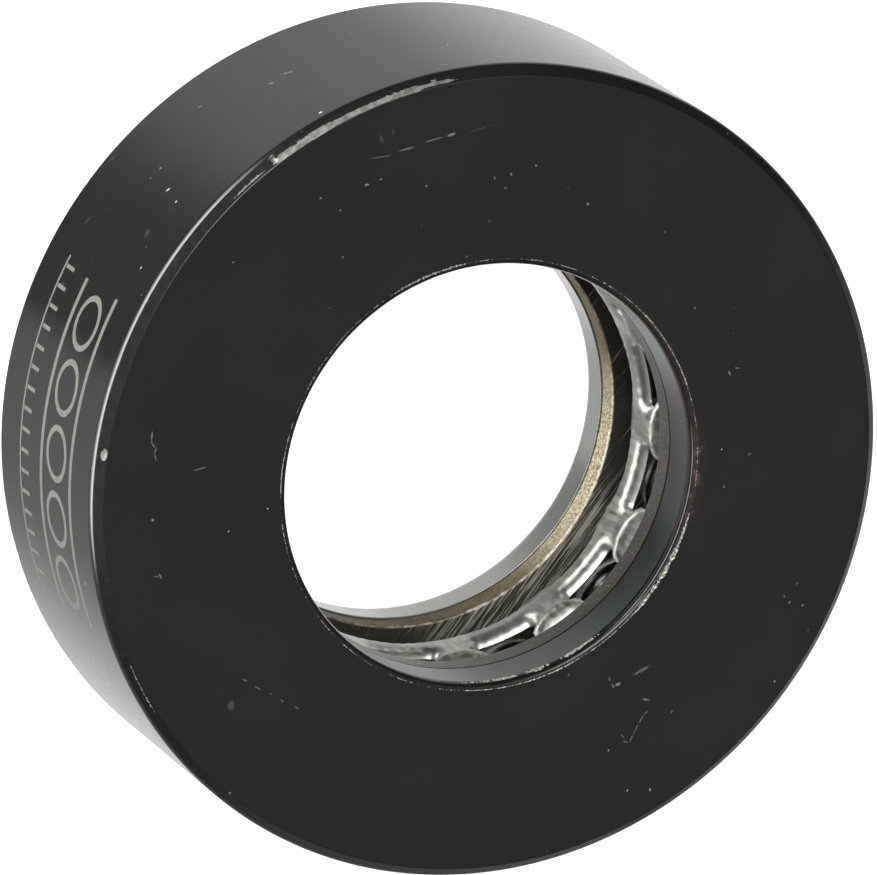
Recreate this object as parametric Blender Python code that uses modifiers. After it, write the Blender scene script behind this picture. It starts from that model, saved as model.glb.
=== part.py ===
"""A housed thrust ball bearing, lying on its rear face.

The origin is the centre of the rear face and +Z runs along the spindle axis, out through the front face.
The black housing is a cup that holds the front race. The rear carrier holds the rear race and turns in the
housing's mouth behind a snap ring, and a pressed cage keeps the balls apart between the two races.
"""

import math

import bmesh
import bpy

MM = 0.001

# Driving dimensions, in millimetres. Heights are measured up from the rear face.
OUTER_RADIUS = 23.5
BORE_RADIUS = 12.1
HEIGHT = 16.0
FRONT_PLATE = 3.15
BALL_DIAMETER = 7.5
BALL_COUNT = 13
FIRST_BALL_ANGLE = 1.5
PITCH_RADIUS = 17.3
BALL_PLANE = 7.25
GROOVE_RADIUS = 0.53 * BALL_DIAMETER
ROLLING_GAP = 0.02
SEAT_GAP = 0.05

# Housing cup.
SKIRT_RADIUS = 21.5
SKIRT_FOOT = 0.2
OUTER_CHAMFER = 0.6
FOOT_CHAMFER = 0.3
BORE_EDGE_WIDTH = 0.38
BORE_EDGE_DEPTH = 0.65
RING_GROOVE_RADIUS = 22.2
RING_GROOVE_LOW = 0.65
RING_GROOVE_HIGH = 1.3

# Races.
FRONT_RACE_SHOULDER = 10.65
FRONT_RACE_RADIUS = SKIRT_RADIUS - SEAT_GAP
FRONT_RACE_BORE_CHAMFER = 0.6
REAR_RACE_SHOULDER = 3.85
REAR_RACE_BACK = 2.4
REAR_RACE_RADIUS = 20.4
REAR_RACE_BORE = 12.2
RACE_CHAMFER = 0.3

# Rear carrier.
CARRIER_RIM_RADIUS = 21.3
CARRIER_RIM_TOP = 3.1
CARRIER_STEP = 1.35
CARRIER_HUB_RADIUS = 20.2
CARRIER_CHAMFER = 0.25

# Snap ring.
SNAP_RING_OUTER = 22.1
SNAP_RING_INNER = 20.4
SNAP_RING_LOW = 0.73
SNAP_RING_HIGH = 1.22
SNAP_RING_GAP = 3.2
SNAP_RING_GAP_ANGLE = 252.0

# Pressed cage: a channel that opens outward.
CAGE_BORE = 12.9
CAGE_SHEET = 0.45
CAGE_HALF_HEIGHT = 2.75
CAGE_RADIUS = 20.6
CAGE_BEND = 0.25
POCKET_RADIUS = 3.15
WINDOW_SILL = 7.8
WINDOW_HALF_WIDTH_FRONT = 1.45
WINDOW_HALF_WIDTH_SILL = 1.95
WINDOW_CORNER = 0.4
ARCH_CROWN = 5.9
ARCH_HALF_WIDTH = 2.85
ARCH_RISE = 1.6

RING_SEGMENTS = 64
CAGE_SEGMENTS = 6 * BALL_COUNT
BALL_SEGMENTS = 16
BALL_RINGS = 8
POCKET_SIDES = 16

BALL_ANGLES = [FIRST_BALL_ANGLE + index * 360.0 / BALL_COUNT for index in range(BALL_COUNT)]


def new_collection(name):
    collection = bpy.data.collections.new(name)
    bpy.context.scene.collection.children.link(collection)
    return collection


def new_material(name, colour, metallic, roughness):
    material = bpy.data.materials.new(name)
    material.use_nodes = True
    shader = material.node_tree.nodes["Principled BSDF"]
    shader.inputs["Base Color"].default_value = (*colour, 1.0)
    shader.inputs["Metallic"].default_value = metallic
    shader.inputs["Roughness"].default_value = roughness
    return material


def new_object(name, mesh, collection, material=None, parent=None):
    obj = bpy.data.objects.new(name, mesh)
    collection.objects.link(obj)
    obj.parent = parent
    if material:
        mesh.materials.append(material)
    return obj


def mesh_from(name, shape):
    """Finishes a bmesh drawn in millimetres as a mesh in metres."""
    bmesh.ops.scale(shape, vec=(MM, MM, MM), verts=shape.verts)
    mesh = bpy.data.meshes.new(name)
    shape.to_mesh(mesh)
    shape.free()
    return mesh


def turned_piece(name, profile, collection, material, segments=RING_SEGMENTS, parent=None):
    """A ring turned about +Z from a closed profile of (radius, height) points, clockwise from its top."""
    shape = bmesh.new()
    points = [shape.verts.new((radius, 0.0, height)) for radius, height in profile]
    for start, end in zip(points, points[1:] + points[:1]):
        shape.edges.new((start, end))
    obj = new_object(name, mesh_from(name, shape), collection, material, parent)
    screw = obj.modifiers.new("turn", "SCREW")
    screw.axis = "Z"
    screw.angle = math.tau
    screw.steps = segments
    screw.render_steps = segments
    screw.use_merge_vertices = True
    screw.merge_threshold = 0.000001
    screw.use_smooth_shade = False
    return obj


def cut(obj, cutter):
    boolean = obj.modifiers.new("cut by " + cutter.name, "BOOLEAN")
    boolean.operation = "DIFFERENCE"
    boolean.solver = "EXACT"
    boolean.object = cutter


def new_cutter(name, shape, collection):
    cutter = new_object(name, mesh_from(name, shape), collection)
    cutter.hide_render = True
    cutter.display_type = "WIRE"
    return cutter


def groove(shoulder, facing):
    """The ball groove's points from the inner lip to the outer, on a race that faces +1 up or -1 down."""
    steps = 6
    floor = BALL_PLANE - facing * (BALL_DIAMETER / 2 + ROLLING_GAP)
    centre = floor + facing * GROOVE_RADIUS
    half_angle = math.acos(abs(centre - shoulder) / GROOVE_RADIUS)
    points = []
    for step in range(steps + 1):
        angle = half_angle * (2 * step / steps - 1)
        radius = PITCH_RADIUS + GROOVE_RADIUS * math.sin(angle)
        points.append((radius, centre - facing * GROOVE_RADIUS * math.cos(angle)))
    return points


def bore_edge():
    """The worn, rounded edge where the front face turns down into the bore, from the wall to the face."""
    steps = 3
    points = []
    for step in range(steps + 1):
        angle = step / steps * math.pi / 2
        radius = BORE_RADIUS + BORE_EDGE_WIDTH * (1 - math.cos(angle))
        height = HEIGHT - BORE_EDGE_DEPTH * (1 - math.sin(angle))
        points.append((radius, height))
    return points


def build_housing(collection, material):
    under_plate = HEIGHT - FRONT_PLATE
    profile = [
        (OUTER_RADIUS - OUTER_CHAMFER, HEIGHT),
        (OUTER_RADIUS, HEIGHT - OUTER_CHAMFER),
        (OUTER_RADIUS, SKIRT_FOOT + FOOT_CHAMFER),
        (OUTER_RADIUS - FOOT_CHAMFER, SKIRT_FOOT),
        (SKIRT_RADIUS + FOOT_CHAMFER, SKIRT_FOOT),
        (SKIRT_RADIUS, SKIRT_FOOT + FOOT_CHAMFER),
        (SKIRT_RADIUS, RING_GROOVE_LOW),
        (RING_GROOVE_RADIUS, RING_GROOVE_LOW),
        (RING_GROOVE_RADIUS, RING_GROOVE_HIGH),
        (SKIRT_RADIUS, RING_GROOVE_HIGH),
        (SKIRT_RADIUS, under_plate),
        (BORE_RADIUS, under_plate),
    ]
    return turned_piece("housing", profile + bore_edge(), collection, material)


def build_front_race(collection, material):
    back = HEIGHT - FRONT_PLATE - SEAT_GAP
    profile = [
        (BORE_RADIUS, back),
        (FRONT_RACE_RADIUS - RACE_CHAMFER, back),
        (FRONT_RACE_RADIUS, back - RACE_CHAMFER),
        (FRONT_RACE_RADIUS, FRONT_RACE_SHOULDER),
        *reversed(groove(FRONT_RACE_SHOULDER, -1)),
        (BORE_RADIUS + FRONT_RACE_BORE_CHAMFER, FRONT_RACE_SHOULDER),
        (BORE_RADIUS, FRONT_RACE_SHOULDER + FRONT_RACE_BORE_CHAMFER),
    ]
    return turned_piece("front_race", profile, collection, material)


def build_rear_race(collection, material, parent):
    profile = [
        (REAR_RACE_BORE, REAR_RACE_SHOULDER - RACE_CHAMFER),
        (REAR_RACE_BORE + RACE_CHAMFER, REAR_RACE_SHOULDER),
        *groove(REAR_RACE_SHOULDER, 1),
        (REAR_RACE_RADIUS, REAR_RACE_SHOULDER),
        (REAR_RACE_RADIUS, REAR_RACE_BACK + RACE_CHAMFER),
        (REAR_RACE_RADIUS - RACE_CHAMFER, REAR_RACE_BACK),
        (REAR_RACE_BORE, REAR_RACE_BACK),
    ]
    return turned_piece("rear_race", profile, collection, material, parent=parent)


def build_rear_carrier(collection, material, parent):
    seat = REAR_RACE_BACK - SEAT_GAP
    pocket = REAR_RACE_RADIUS + SEAT_GAP
    profile = [
        (BORE_RADIUS, seat),
        (pocket, seat),
        (pocket, CARRIER_RIM_TOP),
        (CARRIER_RIM_RADIUS - CARRIER_CHAMFER, CARRIER_RIM_TOP),
        (CARRIER_RIM_RADIUS, CARRIER_RIM_TOP - CARRIER_CHAMFER),
        (CARRIER_RIM_RADIUS, CARRIER_STEP),
        (CARRIER_HUB_RADIUS, CARRIER_STEP),
        (CARRIER_HUB_RADIUS, OUTER_CHAMFER),
        (CARRIER_HUB_RADIUS - OUTER_CHAMFER, 0.0),
        (BORE_RADIUS + BORE_EDGE_WIDTH, 0.0),
        (BORE_RADIUS, BORE_EDGE_DEPTH),
    ]
    return turned_piece("rear_carrier", profile, collection, material, parent=parent)


def build_snap_ring(collection, cutters, material):
    profile = [
        (SNAP_RING_INNER, SNAP_RING_HIGH),
        (SNAP_RING_OUTER, SNAP_RING_HIGH),
        (SNAP_RING_OUTER, SNAP_RING_LOW),
        (SNAP_RING_INNER, SNAP_RING_LOW),
    ]
    ring = turned_piece("snap_ring", profile, collection, material)
    gap = bmesh.new()
    bmesh.ops.create_cube(gap, size=1.0)
    bmesh.ops.scale(gap, vec=(4.0, SNAP_RING_GAP, 2.0), verts=gap.verts)
    middle = ((SNAP_RING_INNER + SNAP_RING_OUTER) / 2, 0.0, (SNAP_RING_LOW + SNAP_RING_HIGH) / 2)
    bmesh.ops.translate(gap, vec=middle, verts=gap.verts)
    gap_cutter = new_cutter("snap_ring_gap", gap, cutters)
    gap_cutter.rotation_euler.z = math.radians(SNAP_RING_GAP_ANGLE)
    cut(ring, gap_cutter)
    return ring


def turn_to(shape, verts, degrees):
    """Turns these points of the bmesh about +Z."""
    sine = math.sin(math.radians(degrees))
    cosine = math.cos(math.radians(degrees))
    for vert in verts:
        x, y, z = vert.co
        vert.co = (x * cosine - y * sine, x * sine + y * cosine, z)


def radial_prisms(outline, inner, outer):
    """One prism at each ball, its (sideways, height) outline pushed through the cage's wall."""
    shape = bmesh.new()
    for angle in BALL_ANGLES:
        face = shape.faces.new([shape.verts.new((inner, side, height)) for side, height in outline])
        pushed = bmesh.ops.extrude_face_region(shape, geom=[face])["geom"]
        far_verts = [item for item in pushed if isinstance(item, bmesh.types.BMVert)]
        bmesh.ops.translate(shape, vec=(outer - inner, 0.0, 0.0), verts=far_verts)
        turn_to(shape, list(face.verts) + far_verts, angle)
    bmesh.ops.recalc_face_normals(shape, faces=shape.faces)
    return shape


def window_outline():
    """A window in the cage's wall: narrow at the front, wider at its sill, with round sill corners."""
    steps = 2
    points = [(-WINDOW_HALF_WIDTH_FRONT, BALL_PLANE + CAGE_HALF_HEIGHT + 0.5)]
    for side, first in ((-1, 180.0), (1, 270.0)):
        for step in range(steps + 1):
            angle = math.radians(first + 90.0 * step / steps)
            points.append(
                (
                    side * (WINDOW_HALF_WIDTH_SILL - WINDOW_CORNER) + WINDOW_CORNER * math.cos(angle),
                    WINDOW_SILL + WINDOW_CORNER + WINDOW_CORNER * math.sin(angle),
                )
            )
    points.append((WINDOW_HALF_WIDTH_FRONT, BALL_PLANE + CAGE_HALF_HEIGHT + 0.5))
    return points


def arch_outline():
    """The half-oval arch behind each ball, open at the cage's rear edge."""
    steps = 8
    spring = ARCH_CROWN - ARCH_RISE
    points = [(ARCH_HALF_WIDTH, spring - 0.5)]
    for step in range(steps + 1):
        angle = math.pi * step / steps
        points.append((ARCH_HALF_WIDTH * math.cos(angle), spring + ARCH_RISE * math.sin(angle)))
    points.append((-ARCH_HALF_WIDTH, spring - 0.5))
    return points


def ball_pockets():
    """One round pocket at each ball, down through both of the cage's plates."""
    shape = bmesh.new()
    for angle in BALL_ANGLES:
        made = bmesh.ops.create_cone(
            shape,
            cap_ends=True,
            segments=POCKET_SIDES,
            radius1=POCKET_RADIUS,
            radius2=POCKET_RADIUS,
            depth=2 * CAGE_HALF_HEIGHT + 1.0,
        )
        bmesh.ops.translate(shape, vec=(PITCH_RADIUS, 0.0, BALL_PLANE), verts=made["verts"])
        turn_to(shape, made["verts"], angle)
    return shape


def build_cage(collection, cutters, material, parent):
    top = BALL_PLANE + CAGE_HALF_HEIGHT
    foot = BALL_PLANE - CAGE_HALF_HEIGHT
    back = CAGE_BORE + CAGE_SHEET
    profile = [
        (CAGE_BORE + CAGE_BEND, top),
        (CAGE_RADIUS, top),
        (CAGE_RADIUS, top - CAGE_SHEET),
        (back, top - CAGE_SHEET),
        (back, foot + CAGE_SHEET),
        (CAGE_RADIUS, foot + CAGE_SHEET),
        (CAGE_RADIUS, foot),
        (CAGE_BORE + CAGE_BEND, foot),
        (CAGE_BORE, foot + CAGE_BEND),
        (CAGE_BORE, top - CAGE_BEND),
    ]
    cage = turned_piece("ball_cage", profile, collection, material, CAGE_SEGMENTS, parent)
    inside = CAGE_BORE - 0.6
    outside = PITCH_RADIUS - POCKET_RADIUS + 0.15
    cut(cage, new_cutter("pocket_holes", ball_pockets(), cutters))
    cut(cage, new_cutter("front_windows", radial_prisms(window_outline(), inside, outside), cutters))
    cut(cage, new_cutter("rear_arches", radial_prisms(arch_outline(), inside, outside), cutters))
    return cage


def build_balls(collection, material, parent):
    """Each ball's own pole axis points outward, because that is the axis it rolls about."""
    shape = bmesh.new()
    bmesh.ops.create_uvsphere(
        shape, u_segments=BALL_SEGMENTS, v_segments=BALL_RINGS, radius=BALL_DIAMETER / 2
    )
    mesh = mesh_from("ball", shape)
    mesh.materials.append(material)
    mesh.shade_smooth()
    for index, angle in enumerate(BALL_ANGLES):
        ball = new_object("ball_%02d" % (index + 1), mesh, collection, parent=parent)
        turn = math.radians(angle)
        ball.location = (
            PITCH_RADIUS * MM * math.cos(turn),
            PITCH_RADIUS * MM * math.sin(turn),
            BALL_PLANE * MM,
        )
        ball.rotation_euler = (0.0, math.pi / 2, turn)


def build_bearing():
    for obj in list(bpy.data.objects):
        bpy.data.objects.remove(obj, do_unlink=True)
    bearing = new_collection("thrust_ball_bearing")
    cutters = new_collection("cutters")

    black_oxide = new_material("black oxide steel", (0.019, 0.022, 0.021), 1.0, 0.38)
    ground_steel = new_material("ground bearing steel", (0.34, 0.32, 0.28), 1.0, 0.3)
    pressed_steel = new_material("pressed steel", (0.45, 0.44, 0.42), 1.0, 0.35)
    ball_steel = new_material("polished ball steel", (0.55, 0.55, 0.56), 1.0, 0.06)
    spring_steel = new_material("spring steel", (0.05, 0.055, 0.06), 1.0, 0.35)

    turning_half = bpy.data.objects.new("carrier_axis", None)
    bearing.objects.link(turning_half)
    cage_axis = bpy.data.objects.new("cage_axis", None)
    bearing.objects.link(cage_axis)

    build_housing(bearing, black_oxide)
    build_front_race(bearing, ground_steel)
    build_rear_race(bearing, ground_steel.copy(), turning_half)
    build_rear_carrier(bearing, black_oxide.copy(), turning_half)
    build_snap_ring(bearing, cutters, spring_steel)
    build_cage(bearing, cutters, pressed_steel, cage_axis)
    build_balls(bearing, ball_steel, cage_axis)


build_bearing()
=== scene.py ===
import math

import bmesh
import bpy
import numpy as np
from mathutils import Matrix, Vector
from mathutils.geometry import delaunay_2d_cdt


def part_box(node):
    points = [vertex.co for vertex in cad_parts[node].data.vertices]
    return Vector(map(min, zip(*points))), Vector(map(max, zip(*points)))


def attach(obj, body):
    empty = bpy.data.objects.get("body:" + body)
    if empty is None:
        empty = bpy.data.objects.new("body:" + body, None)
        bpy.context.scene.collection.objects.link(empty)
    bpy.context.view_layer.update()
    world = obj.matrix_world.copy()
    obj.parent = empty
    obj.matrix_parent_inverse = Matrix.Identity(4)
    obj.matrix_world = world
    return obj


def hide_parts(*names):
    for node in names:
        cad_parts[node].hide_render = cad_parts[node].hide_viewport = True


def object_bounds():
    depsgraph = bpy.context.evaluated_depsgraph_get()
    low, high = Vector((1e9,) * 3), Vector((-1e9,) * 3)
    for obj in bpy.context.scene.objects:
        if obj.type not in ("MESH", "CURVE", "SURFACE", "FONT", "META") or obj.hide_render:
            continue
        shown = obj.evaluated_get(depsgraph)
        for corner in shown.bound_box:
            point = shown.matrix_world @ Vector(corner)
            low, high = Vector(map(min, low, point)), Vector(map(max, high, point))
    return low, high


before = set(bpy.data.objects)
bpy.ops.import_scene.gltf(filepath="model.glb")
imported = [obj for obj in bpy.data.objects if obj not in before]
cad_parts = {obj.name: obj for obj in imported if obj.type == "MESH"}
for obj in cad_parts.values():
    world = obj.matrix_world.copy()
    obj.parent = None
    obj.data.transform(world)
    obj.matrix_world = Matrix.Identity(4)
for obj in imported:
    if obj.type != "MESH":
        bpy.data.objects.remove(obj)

# A housed thrust ball bearing with a blackened cup, bright races, a pressed cage and thirteen loose balls.
# Every length below is in millimetres until a mesh is finished, and heights run up from the rear face.

MM = 0.001
CAD_LOW, CAD_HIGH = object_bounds()


def node_box(node):
    """A CAD node's lowest and highest corners in millimetres."""
    low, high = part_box(node)
    return low / MM, high / MM


HOUSING_LOW, HOUSING_HIGH = node_box("housing")
FRONT_RACE_LOW, FRONT_RACE_HIGH = node_box("front_race")
REAR_RACE_LOW, REAR_RACE_HIGH = node_box("rear_race")
CARRIER_LOW, CARRIER_HIGH = node_box("rear_carrier")
SNAP_LOW, SNAP_HIGH = node_box("snap_ring")
CAGE_LOW, CAGE_HIGH = node_box("ball_cage")
BALL_NODES = sorted(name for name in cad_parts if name.startswith("ball_") and name != "ball_cage")
BALL_COUNT = len(BALL_NODES)
BALL_PITCH = math.tau / BALL_COUNT
BALL_BOXES = [node_box(node) for node in BALL_NODES]
BALL_CENTRES = [(low + high) / 2 for low, high in BALL_BOXES]
FIRST_BALL = math.atan2(BALL_CENTRES[0].y, BALL_CENTRES[0].x)
BALL_PLANE = BALL_CENTRES[0].z
PITCH_RADIUS = sum(math.hypot(centre.x, centre.y) for centre in BALL_CENTRES) / BALL_COUNT
BALL_RADIUS = (BALL_BOXES[0][1].z - BALL_BOXES[0][0].z) / 2

# Housing cup.
OUTER_RADIUS = HOUSING_HIGH.x
FRONT_FACE = HOUSING_HIGH.z
SKIRT_FOOT = HOUSING_LOW.z
BORE_RADIUS = 12.1
UNDER_PLATE = FRONT_FACE - 3.15
SKIRT_RADIUS = 21.5
OUTER_CHAMFER = 0.6
FOOT_CHAMFER = 0.3
BORE_EDGE_WIDTH = 0.38
BORE_EDGE_DEPTH = 0.65
RING_GROOVE_RADIUS = 22.2
RING_GROOVE_LOW = 0.65
RING_GROOVE_HIGH = 1.3

# Races and their ball grooves.
GROOVE_RADIUS = 0.53 * 2 * BALL_RADIUS
ROLLING_GAP = 0.02
RACE_CHAMFER = 0.3
FRONT_RACE_BORE_CHAMFER = 0.6
REAR_RACE_BORE = 12.2
# The race sits this much nearer its seat than its CAD box, so that the joint shows as a hairline.
RACE_SEATING = 0.035

# Rear carrier.
CARRIER_STEP = 1.35
CARRIER_HUB_RADIUS = 20.2
CARRIER_POCKET = REAR_RACE_HIGH.x + 0.05
CARRIER_SEAT = REAR_RACE_LOW.z - 0.05

# Snap ring.
SNAP_RING_INNER = 20.4
SNAP_RING_GAP = 3.2
SNAP_RING_GAP_ANGLE = math.radians(252.0)

# Pressed cage: one sheet bent into a channel that opens outward.
CAGE_BORE = 12.9
CAGE_SHEET = 0.45
FRONT_BEND = 1.2
REAR_BEND = 0.8
CAGE_RIM = 20.6
POCKET_RADIUS = 3.15
WINDOW_SILL = 7.8
WINDOW_HALF_FRONT = 1.45
WINDOW_HALF_SILL = 1.95
WINDOW_CORNER = 0.45
ARCH_CROWN = 5.9
ARCH_HALF = 2.85
ARCH_RISE = 1.6
WEB_NOTCH_HALF = 0.72
WEB_NOTCH_LOW = 9.62
WEB_NOTCH_RISE = 0.6
CAGE_CROWN = 0.42

# How finely the rings are turned. Guards are the extra rings of points beside a corner.
RING_STEPS = 1440
PLAIN_RING_STEPS = 480
LONGEST_STRETCH = 1.5
PLAIN = (0.04,)
KNOCKED = (0.04, 0.09, 0.15, 0.22, 0.3, 0.4, 0.52)
SAME_PLACE = 0.002


# ---------------------------------------------------------------- turned rings


def rounded_outline(corners):
    """A closed outline through (radius, height, before, after, guards) corners.

    Before and after are how far the rounding runs back and on from the corner. Guards are how far beyond
    it the outline gets another ring, which keeps the flats flat and the knocks near their edge.
    """
    ends = []
    count = len(corners)
    for index, (radius, height, before, after, guards) in enumerate(corners):
        here = Vector((radius, height))
        into = (here - Vector(corners[index - 1][:2])).normalized()
        onward = (Vector(corners[(index + 1) % count][:2]) - here).normalized()
        ends.append((here - into * before, here, here + onward * after, guards))
    outline = []
    for index, (start, here, end, guards) in enumerate(ends):
        if (start - end).length < 1e-6:
            outline.append(here)
        else:
            steps = 5 if (start - end).length < 0.2 else 9
            for step in range(steps + 1):
                share = step / steps
                outline.append(here * (2 * share * (1 - share)) + start * (1 - share) ** 2 + end * share**2)
        far, _, _, far_guards = ends[(index + 1) % count]
        length = (far - end).length
        rings = [reach for reach in guards if reach < length * 0.48]
        rings += [length - reach for reach in far_guards if reach < length * 0.48]
        rings = sorted({round(ring, 4) for ring in rings})
        stops = [0.0, *rings, length]
        for near, distant in zip(stops, stops[1:]):
            pieces = max(1, math.ceil((distant - near) / LONGEST_STRETCH))
            for piece in range(1, pieces + 1):
                if distant < length or piece < pieces:
                    outline.append(end.lerp(far, (near + (distant - near) * piece / pieces) / length))
    return np.array([tuple(point) for point in outline])


def random_round(angles, cells, seed):
    """Smooth random heights from 0 to 1 round a ring, which meet where the ring closes."""
    heights = np.random.default_rng(seed).random(cells)
    place = angles / math.tau % 1.0 * cells
    cell = np.floor(place).astype(int)
    share = place - cell
    blend = share * share * (3 - 2 * share)
    return heights[cell % cells] * (1 - blend) + heights[(cell + 1) % cells] * blend


def worn_stretches(angles, everywhere, stretches):
    """How hard an edge has been knocked at each angle: a low value all round, with harder stretches."""
    amount = np.full(angles.shape, everywhere)
    for middle, half, strength in stretches:
        away = np.abs((np.degrees(angles) - middle + 180.0) % 360.0 - 180.0)
        amount = np.maximum(amount, strength * np.clip(1.6 - away / half, 0.0, 1.0))
    return amount


def knocked_edge(angles, radius, height, edge):
    """Bites chips out of one turned edge. Returns the new radius and height and how bare each point is."""
    knocks = worn_stretches(angles, edge["everywhere"], edge["stretches"])
    bite = 0.4 * random_round(angles, 110, edge["seed"])
    bite += 0.35 * random_round(angles, 330, edge["seed"] + 1)
    bite += 0.3 * random_round(angles, 1100, edge["seed"] + 2)
    bite = np.clip((bite - 0.42) * 2.6 + edge["steady"], 0.0, 1.0) * knocks
    away = np.hypot(radius - edge["radius"], height - edge["height"])
    reach = edge["line"] * np.clip(knocks * 2.0, 0.0, 1.0) + edge["reach"] * bite
    bare = np.clip((reach[:, None] - away) / 0.05 + 0.3, 0.0, 1.0) * np.clip(knocks * 3.0, 0.0, 1.0)[:, None]
    sink = edge["depth"] * np.clip(bite[:, None] - away / edge["reach"], 0.0, 1.0)
    return radius + edge["inward"][0] * sink, height + edge["inward"][1] * sink, bare


def turned_ring(name, outline, steps, edges=()):
    """A ring turned about the spindle axis from a closed outline, with its knocked edges."""
    angles = np.arange(steps) * math.tau / steps
    radius = np.repeat(outline[None, :, 0], steps, axis=0)
    height = np.repeat(outline[None, :, 1], steps, axis=0)
    worn = np.zeros(radius.shape)
    for edge in edges:
        radius, height, bare = knocked_edge(angles, radius, height, edge)
        worn = np.maximum(worn, bare)
    across = angles[:, None]
    points = np.stack([radius * np.cos(across), radius * np.sin(across), height], axis=-1)
    count = outline.shape[0]
    here = np.arange(steps)[:, None] * count + np.arange(count)[None, :]
    beside = np.roll(here, -1, axis=0)
    faces = np.stack([here, beside, np.roll(beside, -1, axis=1), np.roll(here, -1, axis=1)], axis=-1)
    ring = piece_from(name, points.reshape(-1, 3), faces.reshape(-1, 4).tolist())
    ring.data.attributes.new("worn", "FLOAT", "POINT").data.foreach_set("value", worn.ravel())
    return ring


def piece_from(name, points, faces):
    """A smooth-shaded mesh object from millimetre points, with its faces turned outward."""
    mesh = bpy.data.meshes.new(name)
    mesh.from_pydata((np.asarray(points) * MM).tolist(), [], faces)
    shape = bmesh.new()
    shape.from_mesh(mesh)
    bmesh.ops.recalc_face_normals(shape, faces=shape.faces)
    shape.to_mesh(mesh)
    shape.free()
    mesh.shade_smooth()
    piece = bpy.data.objects.new(name, mesh)
    bpy.context.scene.collection.objects.link(piece)
    return piece


def groove_corners(shoulder, facing):
    """The ball groove on a race, from its inner lip to its outer. Facing is 1 for up and -1 for down."""
    steps = 24
    floor = BALL_PLANE - facing * (BALL_RADIUS + ROLLING_GAP)
    centre = floor + facing * GROOVE_RADIUS
    half_angle = math.acos(abs(centre - shoulder) / GROOVE_RADIUS)
    corners = []
    for step in range(steps + 1):
        angle = half_angle * (2 * step / steps - 1)
        radius = PITCH_RADIUS + GROOVE_RADIUS * math.sin(angle)
        height = centre - facing * GROOVE_RADIUS * math.cos(angle)
        rounding = 0.06 if step in (0, steps) else 0.0
        corners.append((radius, height, rounding, rounding, PLAIN if rounding else ()))
    return corners


def make_housing():
    top = FRONT_FACE
    outside = OUTER_RADIUS
    foot = SKIRT_FOOT
    corners = [
        (outside - OUTER_CHAMFER, top, 0.06, 0.05, KNOCKED),
        (outside, top - OUTER_CHAMFER, 0.24, 0.26, KNOCKED),
        (outside, foot + FOOT_CHAMFER, 0.1, 0.08, KNOCKED),
        (outside - FOOT_CHAMFER, foot, 0.06, 0.06, PLAIN),
        (SKIRT_RADIUS + FOOT_CHAMFER, foot, 0.06, 0.06, PLAIN),
        (SKIRT_RADIUS, foot + FOOT_CHAMFER, 0.03, 0.03, ()),
        (SKIRT_RADIUS, RING_GROOVE_LOW, 0.02, 0.02, ()),
        (RING_GROOVE_RADIUS, RING_GROOVE_LOW, 0.04, 0.04, ()),
        (RING_GROOVE_RADIUS, RING_GROOVE_HIGH, 0.04, 0.04, ()),
        (SKIRT_RADIUS, RING_GROOVE_HIGH, 0.03, 0.03, PLAIN),
        (SKIRT_RADIUS, UNDER_PLATE, 0.05, 0.05, PLAIN),
        (BORE_RADIUS, UNDER_PLATE, 0.03, 0.03, PLAIN),
        (BORE_RADIUS, top, BORE_EDGE_DEPTH, BORE_EDGE_WIDTH, KNOCKED),
    ]
    chamfer_rim = {
        "radius": outside, "height": top - OUTER_CHAMFER, "inward": (-1.0, -0.6), "steady": 0.0,
        "line": 0.0, "reach": 0.16, "depth": 0.07, "seed": 3, "everywhere": 0.08,
        "stretches": [
            (-58, 1, 0.4), (-114, 4, 0.6), (-40, 6, 0.3), (150, 20, 0.35), (60, 9, 0.45), (8, 4, 0.6),
        ],
    }
    chamfer_nick = {
        "radius": outside - 0.25, "height": top - 0.25, "inward": (-0.7, -1.0), "steady": 0.7,
        "line": 0.0, "reach": 0.36, "depth": 0.22, "seed": 5, "everywhere": 0.0,
        "stretches": [(-107.8, 0.35, 0.7), (-101.4, 0.3, 0.35), (-133, 0.5, 0.5)],
    }
    chamfer_top = {
        "radius": outside - OUTER_CHAMFER + 0.15, "height": top - 0.15, "inward": (-0.4, -1.0),
        "steady": 0.0, "line": 0.17, "reach": 0.07, "depth": 0.04, "seed": 11, "everywhere": 0.0,
        "stretches": [
            (-113, 4, 1.0), (-119, 5, 1.0), (-126, 4, 1.0), (-103, 3, 0.22), (-133, 3, 0.3), (-60, 0.7, 0.5),
            (-25, 5, 0.2), (97, 4, 0.25),
        ],
    }
    bore_lip = {
        "radius": BORE_RADIUS + BORE_EDGE_WIDTH, "height": top, "inward": (0.5, -1.0), "steady": 0.0,
        "line": 0.035, "reach": 0.13, "depth": 0.08, "seed": 23, "everywhere": 0.22,
        "stretches": [(96, 12, 1.0), (50, 22, 0.3), (160, 14, 0.3), (-125, 9, 0.5), (-60, 12, 0.3)],
    }
    bore_wall_edge = {
        "radius": BORE_RADIUS + 0.04, "height": top - BORE_EDGE_DEPTH + 0.2, "inward": (1.0, 0.3),
        "steady": 0.0, "line": 0.05, "reach": 0.16, "depth": 0.05, "seed": 29, "everywhere": 0.06,
        "stretches": [(58, 13, 0.9), (38, 8, 0.6), (92, 14, 0.25)],
    }
    foot_rim = {
        "radius": outside, "height": foot + FOOT_CHAMFER, "inward": (-1.0, 0.6), "steady": 0.0,
        "line": 0.02, "reach": 0.2, "depth": 0.07, "seed": 31, "everywhere": 0.25,
        "stretches": [(-30, 14, 0.7), (75, 10, 0.6), (170, 16, 0.7)],
    }
    edges = (chamfer_rim, chamfer_nick, chamfer_top, bore_lip, bore_wall_edge, foot_rim)
    return turned_ring("housing_shell", rounded_outline(corners), RING_STEPS, edges)


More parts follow.
